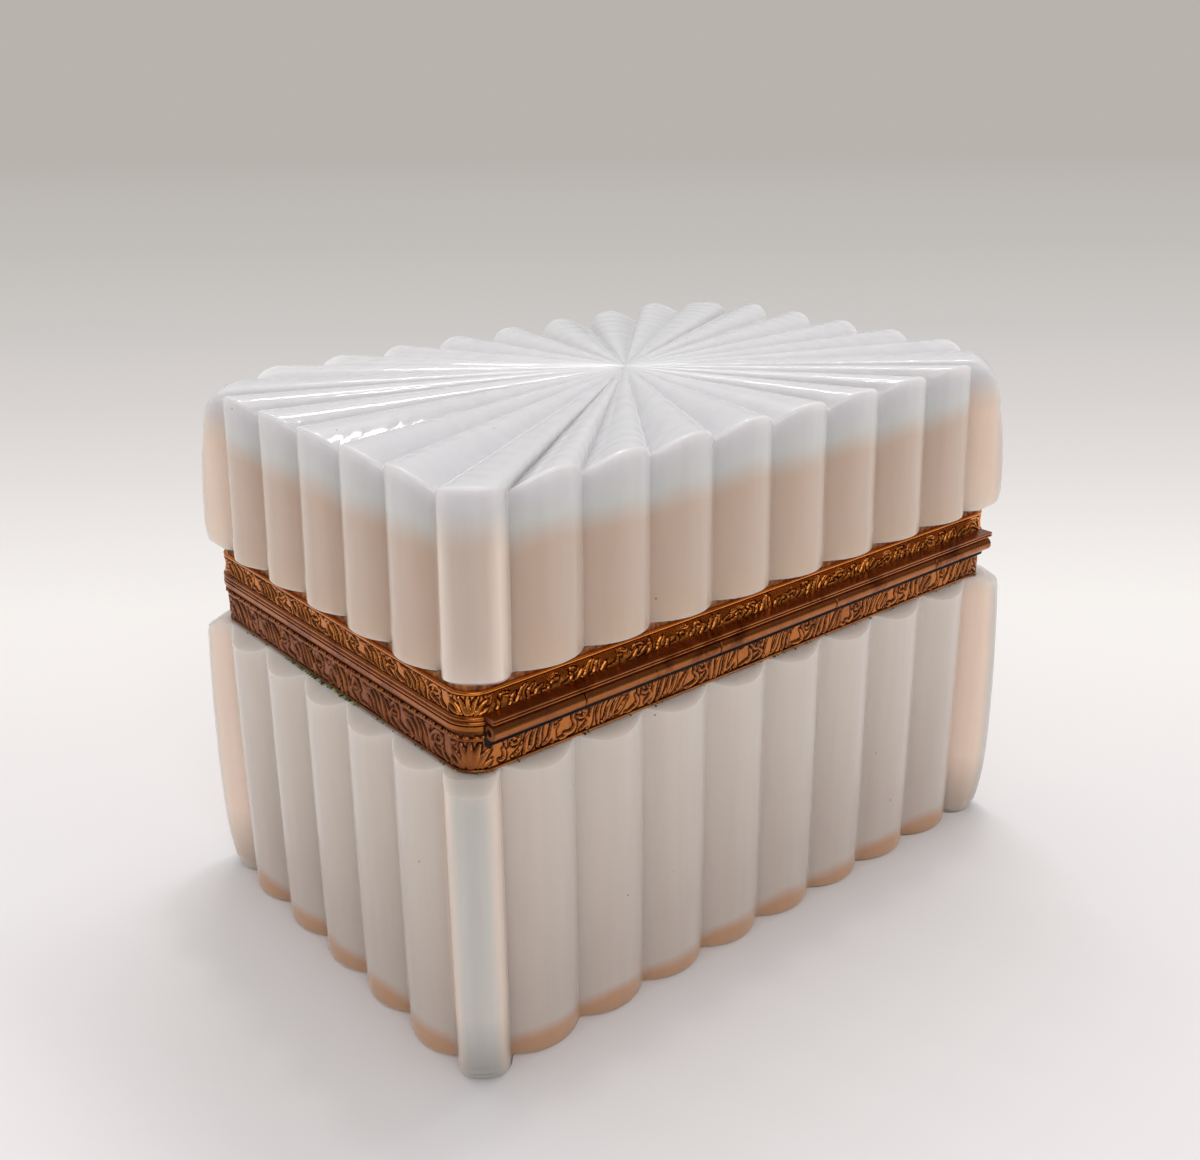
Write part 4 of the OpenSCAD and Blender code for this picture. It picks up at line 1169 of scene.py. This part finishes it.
class CASKET_OT_stage(PieceOperator, bpy.types.Operator):
    """Sets the floor, the backdrop, the lamps and the camera"""
    bl_idname = "casket.stage"
    bl_label = "Stage"

    def make(self, scene):
        colours = scene.casket_stage_colours
        self.floor(colours)
        self.backdrop(scene, colours)
        self.lamps(scene)
        self.camera(scene)

    def floor(self, colours):
        bm = bmesh.new()
        bmesh.ops.create_circle(bm, cap_ends=True, segments=128, radius=FLOOR_RADIUS)
        mesh = bpy.data.meshes.new("floor")
        bm.to_mesh(mesh)
        bm.free()
        made = bpy.data.objects.new("floor", mesh)
        bpy.context.scene.collection.objects.link(made)
        # Painted board, matt: a plain pale ground that keeps the object's shadow. Far from the
        # object it shows its ramp unlit, which paints the light falling off behind the box into the
        # grey backdrop, and glossy things see it darker in front.
        material, add = blank_material("Painted board, matt")
        place = add("TexCoord").outputs["Object"]
        depth = add("VectorMath", {0: place, 1: AWAY}, operation="DOT_PRODUCT").outputs["Value"]
        reach = add("MapRange", {"Value": depth, "From Min": 0.0, "From Max": FLOOR_DEPTH})
        tone = add("ValToRGB", {"Fac": reach},
                   stops=[(0.0, colours.floor), (0.07, colours.mid),
                          *((share, linear(code)) for share, code in FLOOR_TONES),
                          (1.0, colours.high)])
        front = add("MapRange", {"Value": depth, "From Min": -0.30, "From Max": -0.12,
                                 "To Min": 0.2, "To Max": 1.0})
        glossy = add("LightPath").outputs["Is Glossy Ray"]
        dimming = add("Mix", {"Factor": glossy, 2: 1.0, 3: front}, data_type="FLOAT")
        laid = add("VectorMath", {0: tone, "Scale": dimming}, operation="SCALE")
        shade = add("BsdfDiffuse", {"Color": laid})
        flat = add("Emission", {"Color": tone})
        fade = add("MapRange", {"Value": depth, "From Min": 0.10, "From Max": 0.30})
        mixed = add("MixShader", {0: fade, 1: shade, 2: flat})
        add("OutputMaterial", {"Surface": mixed})
        mesh.materials.append(material)

    def backdrop(self, scene, colours):
        """A plain backdrop for the eye, and for glass to show. The object is lit evenly by it,
        and glossy faces see a darker room in front of the box than behind it."""
        world = bpy.data.worlds.new("Studio")
        scene.world = world
        world.use_nodes = True
        world.node_tree.nodes.clear()
        add = partial(node, world.node_tree)
        rays = add("LightPath").outputs
        seen = add("Math", {0: rays["Is Camera Ray"], 1: rays["Is Transmission Ray"]},
                   operation="MAXIMUM")
        way = add("TexCoord").outputs["Generated"]
        behind = add("VectorMath", {0: way, 1: (-0.62, -0.73, 0.28)},
                     operation="DOT_PRODUCT").outputs["Value"]
        room = add("MapRange", {"Value": behind, "From Min": 0.1, "From Max": 0.6,
                                "To Min": 0.10, "To Max": 0.42})
        light = add("Mix", {"Factor": rays["Is Glossy Ray"], 2: 0.62, 3: room},
                    data_type="FLOAT")
        tone = add("Mix", {"Factor": seen, 6: light, 7: (*colours.high, 1)},
                   data_type="RGBA").outputs[2]
        shine = add("Background", {"Color": tone, "Strength": 1.0})
        add("OutputWorld", {"Surface": shine})

    def lamps(self, scene):
        """Soft lamps, all turned towards the box."""
        aim = Vector((0, 0, 0.09))
        for name, place, along, long, wide, power in LAMPS:
            lamp = bpy.data.lights.new(name, "AREA")
            lamp.shape = "RECTANGLE"
            lamp.size = long
            lamp.size_y = wide
            lamp.energy = power
            made = bpy.data.objects.new(name, lamp)
            back = (Vector(place) - aim).normalized()
            side = (Vector(along) - back * back.dot(Vector(along))).normalized()
            turned = Matrix((side, back.cross(side), back)).transposed().to_4x4()
            made.matrix_world = Matrix.Translation(place) @ turned
            scene.collection.objects.link(made)

    def camera(self, scene):
        """Stands on the hinge side, to the left of the middle, and looks down at the box."""
        azimuth, elevation, roll = (math.radians(turn) for turn in (AZIMUTH, ELEVATION, ROLL))
        back = Vector((math.sin(azimuth) * math.cos(elevation),
                       math.cos(azimuth) * math.cos(elevation), math.sin(elevation)))
        right = (-back).cross(Vector((0, 0, 1))).normalized()
        up = right.cross(-back)
        level = right * math.cos(roll) + up * math.sin(roll)
        tall = up * math.cos(roll) - right * math.sin(roll)
        lens = bpy.data.cameras.new("camera")
        lens.sensor_width = SENSOR
        lens.lens = SENSOR * FOCAL_PIXELS / FRAME_WIDTH
        lens.shift_y = SHIFT_PIXELS / FRAME_WIDTH
        lens.clip_start = 0.01
        lens.clip_end = 50
        made = bpy.data.objects.new("camera", lens)
        turn = Matrix((level, tall, back)).transposed().to_4x4()
        made.matrix_world = Matrix.Translation(CAMERA_PLACE) @ turn
        scene.collection.objects.link(made)
        scene.camera = made
        scene.view_settings.view_transform = "Standard"


class CASKET_PT_panel(bpy.types.Panel):
    """Lists the steps that dress the casket, and their sizes and colours"""
    bl_label = "Casket"
    bl_idname = "CASKET_PT_panel"
    bl_space_type = "VIEW_3D"
    bl_region_type = "UI"
    bl_category = "Casket"

    def draw(self, context):
        for step in STEPS:
            self.layout.operator(step.bl_idname)
        for name, group in GROUPS.items():
            box = self.layout.box()
            for value in group.__annotations__:
                box.prop(getattr(context.scene, name), value)


GROUPS = {"casket_glass": GlassSizes, "casket_mount": MountSizes, "casket_hinge": HingeSizes,
          "casket_glass_colours": GlassColours, "casket_brass_colours": BrassColours,
          "casket_earth_colours": EarthColours, "casket_stage_colours": StageColours}
STEPS = (CASKET_OT_glass, CASKET_OT_mount, CASKET_OT_hinge, CASKET_OT_stage)
CLASSES = (*GROUPS.values(), *STEPS, CASKET_PT_panel)


def register():
    for made in CLASSES:
        bpy.utils.register_class(made)
    for name, group in GROUPS.items():
        setattr(bpy.types.Scene, name, PointerProperty(type=group))


def unregister():
    for name in GROUPS:
        delattr(bpy.types.Scene, name)
    for made in reversed(CLASSES):
        bpy.utils.unregister_class(made)


def main():
    register()
    bpy.ops.casket.glass()
    bpy.ops.casket.mount()
    bpy.ops.casket.hinge()
    bpy.ops.casket.stage()


if __name__ == "__main__":
    main()
